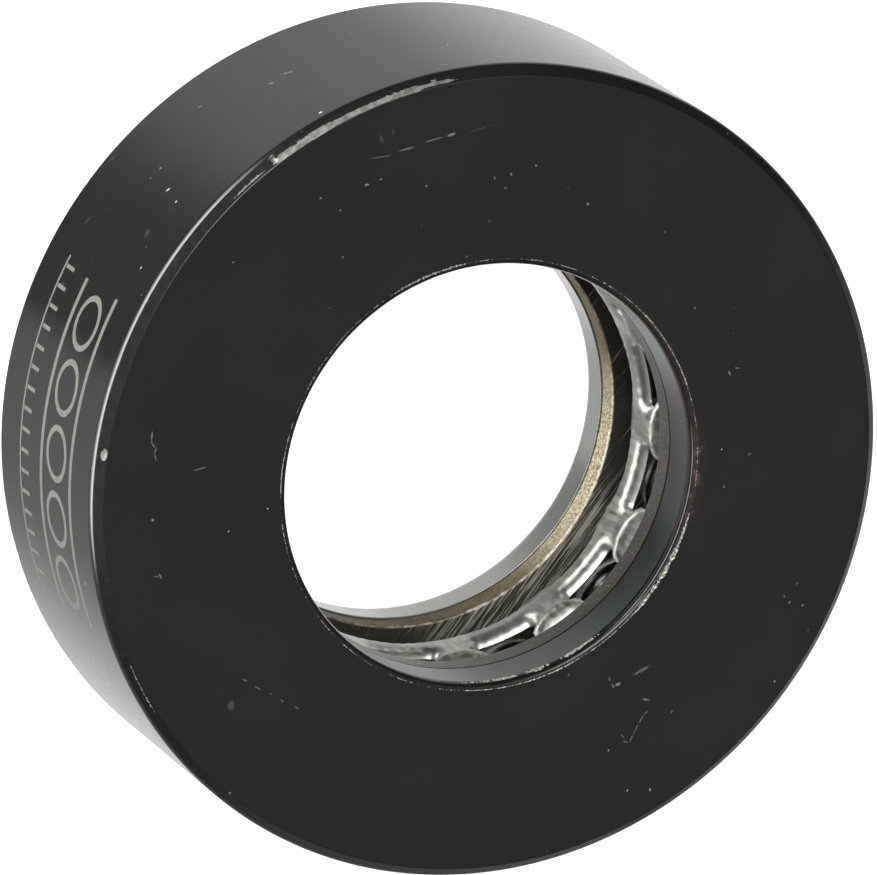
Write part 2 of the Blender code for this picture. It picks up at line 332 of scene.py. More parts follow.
def make_front_race():
    back = FRONT_RACE_HIGH.z
    shoulder = FRONT_RACE_LOW.z
    outside = FRONT_RACE_HIGH.x
    chamfer = FRONT_RACE_BORE_CHAMFER
    corners = [
        (BORE_RADIUS, back, 0.07, 0.07, PLAIN),
        (outside - RACE_CHAMFER, back, 0.05, 0.05, ()),
        (outside, back - RACE_CHAMFER, 0.05, 0.05, ()),
        (outside, shoulder, 0.05, 0.05, ()),
        *reversed(groove_corners(shoulder, -1)),
        (BORE_RADIUS + chamfer, shoulder, 0.1, 0.1, PLAIN),
        (BORE_RADIUS, shoulder + chamfer, 0.16, 0.16, (0.04, 0.1, 0.18)),
    ]
    bore_lip = {
        "radius": BORE_RADIUS, "height": shoulder + chamfer, "inward": (1.0, 0.5), "steady": 0.0,
        "line": 0.04, "reach": 0.1, "depth": 0.02, "seed": 41, "everywhere": 0.3,
        "stretches": [(60, 20, 0.6), (110, 14, 0.5)],
    }
    return turned_ring("front_race_ring", rounded_outline(corners), PLAIN_RING_STEPS, (bore_lip,))


def make_rear_race():
    shoulder = REAR_RACE_HIGH.z
    back = REAR_RACE_LOW.z - RACE_SEATING
    outside = REAR_RACE_HIGH.x
    corners = [
        (REAR_RACE_BORE, shoulder, 0.16, 0.16, (0.04, 0.12, 0.22)),
        *groove_corners(shoulder, 1),
        (outside, shoulder, 0.08, 0.08, PLAIN),
        (outside, back, 0.15, 0.15, ()),
        (REAR_RACE_BORE, back, 0.015, 0.015, PLAIN),
    ]
    bore_lip = {
        "radius": REAR_RACE_BORE, "height": shoulder, "inward": (1.0, -0.6), "steady": 0.0,
        "line": 0.05, "reach": 0.12, "depth": 0.02, "seed": 47, "everywhere": 0.5,
        "stretches": [(65, 26, 0.8), (110, 14, 0.7)],
    }
    return turned_ring("rear_race_ring", rounded_outline(corners), PLAIN_RING_STEPS, (bore_lip,))


def make_rear_carrier():
    rim = CARRIER_HIGH.x
    rim_top = CARRIER_HIGH.z
    foot = CARRIER_LOW.z
    corners = [
        (BORE_RADIUS, CARRIER_SEAT, 0.015, 0.015, PLAIN),
        (CARRIER_POCKET, CARRIER_SEAT, 0.04, 0.04, ()),
        (CARRIER_POCKET, rim_top, 0.05, 0.05, ()),
        (rim, rim_top, 0.2, 0.2, PLAIN),
        (rim, CARRIER_STEP, 0.06, 0.06, ()),
        (CARRIER_HUB_RADIUS, CARRIER_STEP, 0.05, 0.05, ()),
        (CARRIER_HUB_RADIUS, foot + OUTER_CHAMFER, 0.07, 0.07, PLAIN),
        (CARRIER_HUB_RADIUS - OUTER_CHAMFER, foot, 0.07, 0.07, (0.04, 0.12, 0.22, 0.35)),
        (BORE_RADIUS, foot, BORE_EDGE_WIDTH, BORE_EDGE_DEPTH, (0.04, 0.12, 0.22, 0.35)),
    ]
    hub_edge = {
        "radius": CARRIER_HUB_RADIUS - OUTER_CHAMFER, "height": foot, "inward": (-0.5, 1.0), "steady": 0.0,
        "line": 0.02, "reach": 0.25, "depth": 0.06, "seed": 53, "everywhere": 0.4,
        "stretches": [(20, 12, 0.9), (140, 16, 0.8), (-70, 10, 0.8)],
    }
    bore_mouth = {
        "radius": BORE_RADIUS + 0.1, "height": foot + 0.15, "inward": (0.7, 0.8), "steady": 0.0,
        "line": 0.02, "reach": 0.2, "depth": 0.05, "seed": 59, "everywhere": 0.4,
        "stretches": [(90, 30, 0.5), (-140, 20, 0.8)],
    }
    edges = (hub_edge, bore_mouth)
    return turned_ring("rear_carrier_ring", rounded_outline(corners), PLAIN_RING_STEPS, edges)


def make_snap_ring():
    """Flat spring wire bent round, with its two ends dressed smooth at the gap."""
    low = SNAP_LOW.z
    high = SNAP_HIGH.z
    outside = SNAP_HIGH.x
    corners = [
        (SNAP_RING_INNER, high, 0.12, 0.12, PLAIN),
        (outside, high, 0.12, 0.12, PLAIN),
        (outside, low, 0.12, 0.12, PLAIN),
        (SNAP_RING_INNER, low, 0.12, 0.12, PLAIN),
    ]
    outline = rounded_outline(corners)
    middle = outline.mean(axis=0)
    half_gap = SNAP_RING_GAP / 2 / middle[0]
    dress = 0.12 / middle[0]
    steps = 360
    sweep = np.linspace(half_gap + dress, math.tau - half_gap - dress, steps)
    shrink = np.ones(steps)
    for inset, size in ((0.45, 0.94), (0.85, 0.8), (1.0, 0.62)):
        end = half_gap + dress * (1 - inset)
        sweep = np.concatenate([[end], sweep, [math.tau - end]])
        shrink = np.concatenate([[size], shrink, [size]])
    sections = middle + (outline[None] - middle) * shrink[:, None, None]
    around = (sweep + SNAP_RING_GAP_ANGLE)[:, None]
    radius, height = sections[..., 0], sections[..., 1]
    points = np.stack([radius * np.cos(around), radius * np.sin(around), height], axis=-1)
    rows, count = height.shape
    faces = []
    for row in range(rows - 1):
        for index in range(count):
            beside = (index + 1) % count
            here, onward = row * count, (row + 1) * count
            faces.append([here + index, here + beside, onward + beside, onward + index])
    faces.append(list(range(count)))
    faces.append([(rows - 1) * count + index for index in reversed(range(count))])
    return piece_from("snap_ring_wire", points.reshape(-1, 3), faces)


# ---------------------------------------------------------------- pressed cage

# The sheet's length, unrolled from the front plate's rim, over both bends, to the rear plate's rim.
PLATE_RUN = CAGE_RIM - CAGE_BORE - FRONT_BEND
FRONT_BEND_RUN = FRONT_BEND * math.pi / 2
REAR_BEND_RUN = REAR_BEND * math.pi / 2
CAGE_TOP = CAGE_HIGH.z
CAGE_FOOT = CAGE_LOW.z
WALL_TOP = CAGE_TOP - FRONT_BEND
WALL_FOOT = CAGE_FOOT + REAR_BEND
WALL_START = PLATE_RUN + FRONT_BEND_RUN
WALL_END = WALL_START + WALL_TOP - WALL_FOOT
REAR_PLATE_START = WALL_END + REAR_BEND_RUN
REAR_PLATE_RADIUS = CAGE_BORE + REAR_BEND
SHEET_END = REAR_PLATE_START + CAGE_RIM - REAR_PLATE_RADIUS


def sheet_to_section(run):
    """Radius, height and outward direction of the sheet's free side at each unrolled run."""
    turn_front = np.clip((run - PLATE_RUN) / FRONT_BEND_RUN, 0.0, 1.0) * math.pi / 2
    turn_rear = np.clip((run - WALL_END) / REAR_BEND_RUN, 0.0, 1.0) * math.pi / 2
    radius = CAGE_BORE + FRONT_BEND * (1 - np.sin(turn_front))
    radius = np.where(run > WALL_END, CAGE_BORE + REAR_BEND * (1 - np.cos(turn_rear)), radius)
    radius = np.where(run < PLATE_RUN, CAGE_RIM - run, radius)
    radius = np.where(run > REAR_PLATE_START, REAR_PLATE_RADIUS + run - REAR_PLATE_START, radius)
    height = WALL_TOP + FRONT_BEND * np.cos(turn_front)
    height = np.where(run > WALL_START, WALL_TOP - (run - WALL_START), height)
    height = np.where(run > WALL_END, WALL_FOOT - REAR_BEND * np.sin(turn_rear), height)
    out_radius = -np.sin(turn_front) * np.cos(turn_rear)
    out_height = np.cos(turn_front) - np.sin(turn_rear)
    return radius, height, out_radius, out_height


def wall_run(height):
    """The unrolled run of a height on the wall or on a bend."""
    if height > WALL_TOP:
        return PLATE_RUN + FRONT_BEND * math.acos(min(1.0, (height - WALL_TOP) / FRONT_BEND))
    if height < WALL_FOOT:
        return WALL_END + REAR_BEND * math.asin(min(1.0, (WALL_FOOT - height) / REAR_BEND))
    return WALL_START + WALL_TOP - height


def slot_side(half_width, runs):
    """(sideways, run) points of a straight slot side, where sideways is measured on the cage's bore."""
    radius = sheet_to_section(np.array(runs))[0]
    return [(half_width / far * CAGE_BORE, run) for far, run in zip(radius, runs)]


def pocket_arc(half_width, rear):
    """The round pocket in a plate, from where one slot side meets it to where the other does."""
    opening = math.asin(half_width / POCKET_RADIUS)
    points = []
    steps = 48
    for step in range(steps + 1):
        angle = math.pi - opening - (math.tau - 2 * opening) * step / steps
        x = PITCH_RADIUS + POCKET_RADIUS * math.cos(angle)
        y = POCKET_RADIUS * math.sin(angle)
        radius = math.hypot(x, y)
        run = REAR_PLATE_START + radius - REAR_PLATE_RADIUS if rear else CAGE_RIM - radius
        points.append((math.atan2(y, x) * CAGE_BORE, run))
    return points


def front_hole():
    """A window from its sill, up over the bend and on into the round pocket of the front plate."""
    sill = wall_run(WINDOW_SILL)
    corner = WINDOW_CORNER
    side = []
    for step in range(7):
        angle = math.pi / 2 * step / 6
        sideways = WINDOW_HALF_SILL - corner + corner * math.sin(angle)
        side.append((sideways, sill - corner + corner * math.cos(angle)))
    for share in np.linspace(0.1, 1.0, 8):
        height = WINDOW_SILL + corner + (WALL_TOP - WINDOW_SILL - corner) * share
        half = WINDOW_HALF_SILL + (WINDOW_HALF_FRONT - WINDOW_HALF_SILL) * share
        side.append((half, wall_run(height)))
    side += slot_side(WINDOW_HALF_FRONT, list(np.linspace(WALL_START, PLATE_RUN, 8)[1:]))
    meet = PITCH_RADIUS - math.sqrt(POCKET_RADIUS**2 - WINDOW_HALF_FRONT**2)
    side += slot_side(WINDOW_HALF_FRONT, list(np.linspace(PLATE_RUN, CAGE_RIM - meet, 4)[1:-1]))
    sill_end = WINDOW_HALF_SILL - corner
    sill_line = [(x, sill) for x in np.linspace(-sill_end, sill_end, 16)[1:-1]]
    return sill_line + side + pocket_arc(WINDOW_HALF_FRONT, False) + [(-x, run) for x, run in reversed(side)]


def rear_hole():
    """An arch in the wall that runs over the rear bend into the round pocket of the rear plate."""
    spring = ARCH_CROWN - ARCH_RISE
    side = []
    crown = ARCH_CROWN - 0.6 * np.linspace(0, 1, 9) ** 2
    for height in np.concatenate([crown, np.linspace(WALL_FOOT, CAGE_FOOT, 9)[1:]]):
        half = ARCH_HALF * math.sqrt(max(0.0, 1 - ((height - spring) / ARCH_RISE) ** 2))
        radius = float(sheet_to_section(np.array(wall_run(height)))[0])
        side.append((half / radius * CAGE_BORE, wall_run(height)))
    slot = ARCH_HALF * math.sqrt(1 - ((CAGE_FOOT - spring) / ARCH_RISE) ** 2)
    meet = PITCH_RADIUS - math.sqrt(POCKET_RADIUS**2 - slot**2)
    last = REAR_PLATE_START + meet - REAR_PLATE_RADIUS
    side += slot_side(slot, list(np.linspace(REAR_PLATE_START, last, 6)[1:-1]))
    return side + pocket_arc(slot, True) + [(-x, run) for x, run in reversed(side[1:])]


def web_border():
    """The line down the middle of a web, stepping round half of the notch at its front."""
    half_pitch = CAGE_BORE * BALL_PITCH / 2
    notch_middle = wall_run(WEB_NOTCH_LOW + WEB_NOTCH_RISE)
    depth = wall_run(WEB_NOTCH_LOW) - notch_middle
    border = [(half_pitch, run) for run in np.linspace(0.0, notch_middle - depth, 14)[:-1]]
    for step in range(13):
        angle = math.pi * step / 12
        border.append((half_pitch - WEB_NOTCH_HALF * math.sin(angle), notch_middle - depth * math.cos(angle)))
    border += [(half_pitch, run) for run in np.linspace(notch_middle + depth, SHEET_END, 60)[1:]]
    return border


def inside_loop(points, loop):
    """True for each point that lies inside the closed loop."""
    inside = np.zeros(len(points), bool)
    for (x0, y0), (x1, y1) in zip(loop, loop[1:] + loop[:1]):
        crosses = (points[:, 1] < y0) != (points[:, 1] < y1)
        with np.errstate(divide="ignore", invalid="ignore"):
            where = x0 + (points[:, 1] - y0) * (x1 - x0) / (y1 - y0)
        inside ^= crosses & (points[:, 0] < where)
    return inside


def distance_to(points, loop):
    """How far each point is from the closed loop."""
    nearest = np.full(len(points), 1e9)
    for start, end in zip(loop, loop[1:] + loop[:1]):
        start, end = np.array(start), np.array(end)
        along = end - start
        share = np.clip((points - start) @ along / max(along @ along, 1e-12), 0.0, 1.0)
        nearest = np.minimum(nearest, np.linalg.norm(points - start - share[:, None] * along, axis=1))
    return nearest


def sheet_grid(spacing, first, last):
    """Staggered points that fill one pitch of the unrolled sheet between two runs."""
    half_pitch = CAGE_BORE * BALL_PITCH / 2
    points = []
    for row, run in enumerate(np.arange(first, last, spacing * 0.87)):
        shift = spacing / 2 if row % 2 else 0.0
        points += [(x, run) for x in np.arange(-half_pitch + shift, half_pitch, spacing)]
    return np.array(points)


def crown_fade(height):
    """Where the wall swells toward the bore: fully round the balls, and not at either bend."""
    rise = np.clip((height - CAGE_FOOT - 0.4) / 1.6, 0, 1)
    fall = np.clip((CAGE_TOP - 0.1 - height) / 1.3, 0, 1)
    return rise * rise * (3 - 2 * rise) * fall * fall * (3 - 2 * fall)


def flat_pitch():
    """One pitch of the flat sheet: points, triangles, and how far each point is from window and arch."""
    border = web_border()
    rim_points = [(x, 0.0) for x in np.linspace(-border[0][0], border[0][0], 14)[1:-1]]
    far_points = [(-x, SHEET_END) for x, run in rim_points]
    outer = border + far_points + [(-x, run) for x, run in reversed(border)] + rim_points
    holes = [front_hole(), rear_hole()]
    fine = sheet_grid(0.19, PLATE_RUN - 0.3, REAR_PLATE_START + 0.3)
    front_grid = sheet_grid(0.6, 0.4, PLATE_RUN - 0.5)
    coarse = np.concatenate([front_grid, sheet_grid(0.6, REAR_PLATE_START + 0.6, SHEET_END)])
    fill_points = []
    for grid, margin in ((fine, 0.09), (coarse, 0.25)):
        keep = inside_loop(grid, outer) & (distance_to(grid, outer) > margin)
        for hole in holes:
            keep &= ~inside_loop(grid, hole) & (distance_to(grid, hole) > margin)
        fill_points += [tuple(point) for point in grid[keep]]
    loops = [outer, *holes]
    points = [Vector(point) for loop in loops for point in loop]
    points += [Vector(point) for point in fill_points]
    seams = []
    first = 0
    for loop in loops:
        seams += [(first + index, first + (index + 1) % len(loop)) for index in range(len(loop))]
        first += len(loop)
    flat, _, triangles, *_ = delaunay_2d_cdt(points, seams, [], 0, 1e-7)
    flat = np.array([tuple(point) for point in flat])
    triangles = np.array(triangles)
    middles = flat[triangles].mean(axis=1)
    keep = inside_loop(middles, outer)
    for hole in holes:
        keep &= ~inside_loop(middles, hole)
    return flat, triangles[keep], distance_to(flat, holes[0]), distance_to(flat, holes[1])


def make_cage():
    """The flat pitch, bent into a channel, swelled and wrinkled a little, and repeated at each ball."""
    flat, triangles, window, arch = flat_pitch()
    radius, height, out_radius, out_height = sheet_to_section(flat[:, 1])
    crown = 1 - np.clip(1 - window / 0.95, 0, 1) ** 2
    crown *= 1 - 0.5 * np.clip(1 - arch / 0.6, 0, 1) ** 2
    rolled_edge = 0.12 * np.clip(1 - window / 0.35, 0, 1) ** 2
    on_wall = np.clip((flat[:, 1] - PLATE_RUN) / FRONT_BEND_RUN, 0, 1)
    on_wall *= np.clip((REAR_PLATE_START - flat[:, 1]) / REAR_BEND_RUN, 0, 1)
    roll = (rolled_edge - CAGE_CROWN * crown_fade(height) * crown) * on_wall
    wrinkled = on_wall * np.clip(window, 0, 0.3) / 0.3 * (np.abs(flat[:, 0]) < 3.0)
    worn = np.clip(1 - np.minimum(window, arch) / 0.5, 0, 1)
    all_points, all_triangles = [], []
    for index in range(BALL_COUNT):
        turn = FIRST_BALL + index * BALL_PITCH + flat[:, 0] / CAGE_BORE
        wave = np.sin(flat[:, 0] * 9.0 + 2.1 * index + 0.7 * np.sin(flat[:, 1] * 3.0 + index))
        shift = roll + 0.012 * wave * wrinkled
        near = radius - out_radius * shift
        high = height - out_height * shift
        all_points.append(np.stack([near * np.cos(turn), near * np.sin(turn), high], axis=-1))
        all_triangles.append(triangles + index * len(flat))
    cage = piece_from("pressed_cage", np.concatenate(all_points), np.concatenate(all_triangles).tolist())
    worn = np.tile(worn, BALL_COUNT)
    cage.data.attributes.new("worn", "FLOAT", "POINT").data.foreach_set("value", worn)
    close_seams(cage.data)
    inner = min(cage.data.polygons, key=lambda face: math.hypot(*face.center.xy))
    if inner.normal.xy.dot(inner.center.xy) > 0:
        cage.data.flip_normals()
    thicken = cage.modifiers.new("sheet", "SOLIDIFY")
    thicken.thickness = CAGE_SHEET * MM
    thicken.offset = -1.0
    thicken.use_even_offset = True
    edge_break = cage.modifiers.new("sheared edges", "BEVEL")
    edge_break.width = 0.13 * MM
    edge_break.segments = 3
    edge_break.limit_method = "ANGLE"
    edge_break.angle_limit = math.radians(50)
    bake_modifiers(cage)
    return cage


def close_seams(mesh):
    """Joins points that lie on each other and turns the faces outward."""
    shape = bmesh.new()
    shape.from_mesh(mesh)
    bmesh.ops.remove_doubles(shape, verts=shape.verts, dist=SAME_PLACE * MM)
    bmesh.ops.recalc_face_normals(shape, faces=shape.faces)
    shape.to_mesh(mesh)
    shape.free()


def bake_modifiers(piece):
    """Makes the mesh what its modifiers show, and removes them."""
    graph = bpy.context.evaluated_depsgraph_get()
    finished = bpy.data.meshes.new_from_object(piece.evaluated_get(graph))
    piece.modifiers.clear()
    piece.data = finished
    finished.shade_smooth()
    finished.set_sharp_from_angle(angle=math.radians(62))


def make_balls():
    """Ground balls, each drawn on the six sides of a cube so that no pole shows in its polish."""
    steps = 20
    grid = np.linspace(-math.pi / 4, math.pi / 4, steps + 1)
    across, up = np.meshgrid(np.tan(grid), np.tan(grid), indexing="ij")
    side = np.stack([np.ones_like(across), across, up], axis=-1).reshape(-1, 3)
    corner = np.arange(steps)[:, None] * (steps + 1) + np.arange(steps)[None, :]
    squares = np.stack([corner, corner + steps + 1, corner + steps + 2, corner + 1], axis=-1).reshape(-1, 4)
    points, faces = [], []
    for axis in range(3):
        for sign in (1.0, -1.0):
            faces.append(squares + len(points) * len(side))
            points.append(np.roll(side * (sign, 1.0, 1.0), axis, axis=1))
    points = np.concatenate(points)
    points *= BALL_RADIUS / np.linalg.norm(points, axis=1)[:, None]
    faces = np.concatenate(faces).tolist()
    balls = []
    for index, centre in enumerate(BALL_CENTRES, 1):
        ball = piece_from(f"steel_ball_{index:02d}", points, faces)
        close_seams(ball.data)
        ball.data.shade_smooth()
        ball.location = centre * MM
        balls.append(ball)
    return balls


# ---------------------------------------------------------------- finishes

# The etched mark on the wall: two plates with a row of balls between them over a short scale.
MARK_ANGLE = -56.0
MARK_HALF = 10.2
MARK_BALL_SPACING = 3.8
MARK_BALL_HEIGHT = 9.7
MARK_BALL_RADIUS = 1.45
MARK_BALL_LINE = 0.18
MARK_TICK_SPACING = 1.2
# Each line's height on the wall, half length and half width.
MARK_LINES = ((12.1, MARK_HALF - 0.5, 0.2), (7.3, MARK_HALF - 0.5, 0.2), (3.8, MARK_HALF, 0.1))
ETCH_FADE = 0.04

# Ways from the spindle axis: the browned side of the lip, its rusty haze, and the sides of the rear race
# where the grinding scratches and the bore get a painted highlight.
BROWN_LIP_WAY = (-0.85, 0.52, 0.0)
HAZE_WAY = (-0.54, 0.84, 0.0)
GRINDING_HIGHLIGHT_WAY = (0.25, 0.97, 0.0)
BORE_HIGHLIGHT_WAY = (-0.3, 0.95, 0.0)

# How far a scratch reaches off its surface, and how much the marks on the face are toned down.
SCRATCH_REACH = 0.6
FACE_MARK_LEVEL = 0.6

# Marks on the front face: x, y, way it runs in degrees, length, width, brightness.
FACE_MARKS = [
    (9.15, -18.35, 35, 0.7, 0.13, 0.7), (9.5, -18.0, 65, 0.7, 0.13, 0.6), (9.7, -17.65, 20, 0.6, 0.12, 0.55),
    (10.0, -17.4, 50, 0.6, 0.12, 0.5), (9.1, -14.8, 138, 1.0, 0.13, 0.5), (12.9, -15.3, 0, 0.24, 0.2, 0.8),
    (15.2, -12.9, 70, 0.5, 0.14, 0.55), (15.35, -13.1, 130, 0.4, 0.12, 0.4),
    (3.9, 14.9, 152, 1.4, 0.26, 0.42), (5.3, 14.2, 145, 0.45, 0.24, 1.0), (5.55, 14.0, 70, 0.4, 0.15, 0.6),
    (5.1, 16.2, 112, 0.65, 0.13, 0.7), (5.7, 16.7, 160, 0.4, 0.1, 0.45), (6.15, 16.7, 5, 0.7, 0.1, 0.5),
    (6.8, 16.8, 12, 0.8, 0.1, 0.55), (7.35, 16.9, 15, 0.6, 0.1, 0.55), (7.7, 16.72, 112, 0.45, 0.11, 0.6),
    (7.55, 16.4, 75, 0.4, 0.1, 0.5), (5.3, 13.5, 0, 0.3, 0.2, 0.25),
    (17.2, -4.9, 100, 0.4, 0.14, 0.5), (17.15, -4.0, 97, 0.6, 0.12, 0.45), (17.0, -3.1, 95, 0.3, 0.12, 0.4),
    (16.95, -2.3, 95, 0.4, 0.12, 0.45), (16.8, -1.3, 92, 0.4, 0.12, 0.4), (18.8, -4.7, 30, 0.8, 0.6, 0.2),
    (-9.0, -16.7, 138, 0.35, 0.17, 1.0), (-9.7, -16.2, 140, 0.2, 0.14, 0.6),
    (-6.9, -18.5, 0, 0.2, 0.16, 0.6),
    (-10.7, -17.0, 133, 1.8, 0.1, 0.3), (-11.9, -16.0, 137, 1.2, 0.2, 0.42),
    (-13.2, -15.0, 139, 1.4, 0.14, 0.5),
    (-14.0, -14.3, 141, 0.7, 0.22, 0.7), (-15.2, -13.1, 142, 2.2, 0.07, 0.2),
    (-11.5, -17.6, 50, 0.7, 0.3, 0.16), (-12.2, -17.3, 50, 0.6, 0.2, 0.12),
    (-14.2, -9.9, 52, 0.3, 0.14, 0.7),
    (-13.5, -10.6, 52, 0.3, 0.12, 0.5), (-13.4, -9.7, 120, 0.25, 0.12, 0.5),
    (-10.9, -13.7, 0, 0.2, 0.15, 0.7),
    (-15.4, -5.0, 0, 0.22, 0.18, 0.9), (-16.7, -0.1, 40, 0.2, 0.14, 0.5), (-5.0, -15.3, 0, 0.2, 0.15, 0.6),
    (-11.4, -9.3, 0, 0.2, 0.14, 0.5), (-7.0, -17.1, 0, 0.2, 0.14, 0.6),
    (-12.5, 8.4, 60, 0.5, 0.14, 0.7), (-13.0, 8.6, 120, 0.4, 0.12, 0.6), (-14.3, 4.2, 0, 0.2, 0.14, 0.6),
    (-7.2, 12.3, 20, 0.3, 0.14, 0.6), (-9.5, 12.4, 0, 0.22, 0.14, 0.7), (-5.2, 19.7, 0, 0.2, 0.14, 0.6),
    (-4.2, 19.5, 50, 0.2, 0.13, 0.6), (-4.1, 20.0, 0, 0.22, 0.15, 0.8), (-4.4, 20.8, 0, 0.2, 0.15, 0.7),
    (0.0, 22.2, 0, 0.22, 0.15, 0.9), (4.8, 18.0, 0, 0.2, 0.14, 0.6), (9.1, 19.8, 45, 0.26, 0.18, 0.9),
]

# Marks on the outer wall: angle round the ring, height, way it runs, length, width, brightness.
WALL_MARKS = [
    (-117.2, 14.6, 20, 0.35, 0.3, 1.0), (-119.4, 7.05, 150, 1.0, 0.16, 0.35),
    (-116.6, 7.3, 160, 0.5, 0.16, 0.3),
    (-95.8, 9.65, 150, 0.42, 0.14, 0.9), (-95.1, 11.5, 0, 0.24, 0.2, 0.7), (-85.1, 12.88, 0, 0.24, 0.2, 0.5),
    (-76.3, 12.1, 0, 0.24, 0.2, 0.9), (-107.8, 4.4, 120, 0.4, 0.14, 0.3), (-152.7, 7.5, 120, 0.6, 0.16, 0.3),
    (-140.0, 10.5, 60, 0.5, 0.12, 0.3), (-40.0, 13.4, 0, 0.25, 0.2, 0.5), (-25.0, 9.0, 30, 0.5, 0.14, 0.4),
    (35.0, 8.0, 20, 1.6, 0.12, 0.5), (70.0, 5.0, 140, 0.9, 0.14, 0.5), (120.0, 11.0, 100, 0.7, 0.14, 0.5),
    (160.0, 6.5, 10, 1.2, 0.12, 0.4),
]

# Makes a Map Range ease from one end to the other, rather than run straight.
EASED = {"interpolation_type": "SMOOTHSTEP"}


def linear(hex_colour):
    """An sRGB hex colour as linear red, green, blue and alpha."""
    channels = [int(hex_colour[place:place + 2], 16) / 255 for place in (1, 3, 5)]
    return (*[c / 12.92 if c <= 0.04045 else ((c + 0.055) / 1.055) ** 2.4 for c in channels], 1.0)


def fill(tree, node, sockets):
    """Gives each named or numbered socket a plain value, a node's working output or one given output."""
    for key, value in sockets.items():
        if isinstance(value, bpy.types.Node):
            value = next(output for output in value.outputs if output.enabled)
        if isinstance(value, bpy.types.NodeSocket):
            tree.links.new(value, node.inputs[key])
        else:
            node.inputs[key].default_value = value


def add(tree, kind, sockets, **settings):
    """Adds a shader node with its settings, and fills its sockets."""
    node = tree.nodes.new("ShaderNode" + kind)
    for name, value in settings.items():
        setattr(node, name, value)
    fill(tree, node, sockets)
    return node


def new_finish(name):
    """An empty material with its shader, and the surface point in millimetres."""
    material = bpy.data.materials.new(name)
    material.use_nodes = True
    tree = material.node_tree
    place = add(tree, "TexCoord", {})
    point = add(tree, "VectorMath", {0: place.outputs["Object"], "Scale": 1 / MM}, operation="SCALE")
    return material, tree, tree.nodes["Principled BSDF"], point


def ring_places(tree, point):
    """Where a point is on a ring: its height, radius, way from the axis, and how flat the surface lies."""
    height = add(tree, "SeparateXYZ", {0: point}).outputs["Z"]
    level = add(tree, "VectorMath", {0: point, 1: (1.0, 1.0, 0.0)}, operation="MULTIPLY")
    radius = add(tree, "VectorMath", {0: level}, operation="LENGTH")
    way = add(tree, "VectorMath", {0: level}, operation="NORMALIZE")
    facing = add(tree, "SeparateXYZ", {0: add(tree, "TexCoord", {}).outputs["Normal"]})
    flatness = add(tree, "Math", {0: facing.outputs["Z"]}, operation="ABSOLUTE")
    return height, radius, way, flatness


def turning_marks(tree, height, radius, way, fine, around):
    """The grooves that a lathe or a wheel leaves round a ring, with no seam where the ring closes.

    Real ones are a few hundredths of a millimetre apart. These are drawn several times coarser, to show.
    """
    across = add(tree, "Math", {0: radius, 1: height}, operation="ADD")
    across = add(tree, "Math", {0: across, 1: fine}, operation="MULTIPLY")
    way = add(tree, "VectorMath", {0: way, "Scale": around}, operation="SCALE")
    parts = add(tree, "SeparateXYZ", {0: way})
    unrolled = add(tree, "CombineXYZ", {0: across, 1: parts.outputs["X"], 2: parts.outputs["Y"]})
    return add(tree, "TexNoise", {"Vector": unrolled, "Scale": 1.0, "Detail": 3.0, "Roughness": 0.6})


def toward(tree, direction, way, inner, outer, low, high):
    """Eases from high within the inner angle of this way to low past the outer one."""
    dot = add(tree, "VectorMath", {0: direction, 1: Vector(way).normalized()}, operation="DOT_PRODUCT")
    near, far = math.cos(math.radians(inner)), math.cos(math.radians(outer))
    return add(tree, "MapRange", {0: dot, 1: far, 2: near, 3: low, 4: high}, **EASED)


def specks(tree, point, cell, size, share):
    """Scattered specks: one in each cell of this many millimetres, of which only a share shows."""
    grid = add(tree, "TexVoronoi", {"Vector": point, "Scale": 1 / cell, "Randomness": 1.0})
    chance = add(tree, "SeparateColor", {0: grid.outputs["Color"]})
    speck = add(tree, "MapRange", {0: grid, 1: size / cell, 2: size / cell * 0.4}, **EASED)
    kept = add(tree, "MapRange", {0: chance, 1: 1 - share, 2: 1.02 - share}, **EASED)
    level = add(tree, "MapRange", {0: chance.outputs["Green"], 3: 0.25}, **EASED)
    for mask in (kept, level):
        speck = add(tree, "Math", {0: speck, 1: mask}, operation="MULTIPLY")
    return speck


def scratch_at(tree, point, place, turn, length, width, level):
    """One short scratch: where its middle is, which way it runs, its size and how bright it is."""
    sockets = {
        "Vector": point, "Location": place, "Rotation": (0.0, 0.0, math.radians(turn)),
        "Scale": (length / 2, width / 2, SCRATCH_REACH),
    }
    local = add(tree, "Mapping", sockets, vector_type="TEXTURE")
    away = add(tree, "VectorMath", {0: local}, operation="LENGTH")
    return add(tree, "MapRange", {0: away, 1: 1.0, 2: 0.35, 4: level}, **EASED)


def handling_marks(tree, point, unrolled, on_front, on_wall):
    """The scratches that handling left on the front face and on the outer wall."""
    face_marks, wall_marks = 0.0, 0.0
    for x, y, turn, length, width, level in FACE_MARKS:
        level *= FACE_MARK_LEVEL
        mark = scratch_at(tree, point, (x, y, FRONT_FACE), turn, length, width, level)
        face_marks = add(tree, "Math", {0: face_marks, 1: mark}, operation="MAXIMUM")
    for angle, height, turn, length, width, level in WALL_MARKS:
        place = (math.radians(angle) * OUTER_RADIUS, height, 0.0)
        mark = scratch_at(tree, unrolled, place, turn, length, width, level)
        wall_marks = add(tree, "Math", {0: wall_marks, 1: mark}, operation="MAXIMUM")
    face_marks = add(tree, "Math", {0: face_marks, 1: on_front}, operation="MULTIPLY")
    wall_marks = add(tree, "Math", {0: wall_marks, 1: on_wall}, operation="MULTIPLY")
    return add(tree, "Math", {0: face_marks, 1: wall_marks}, operation="MAXIMUM")


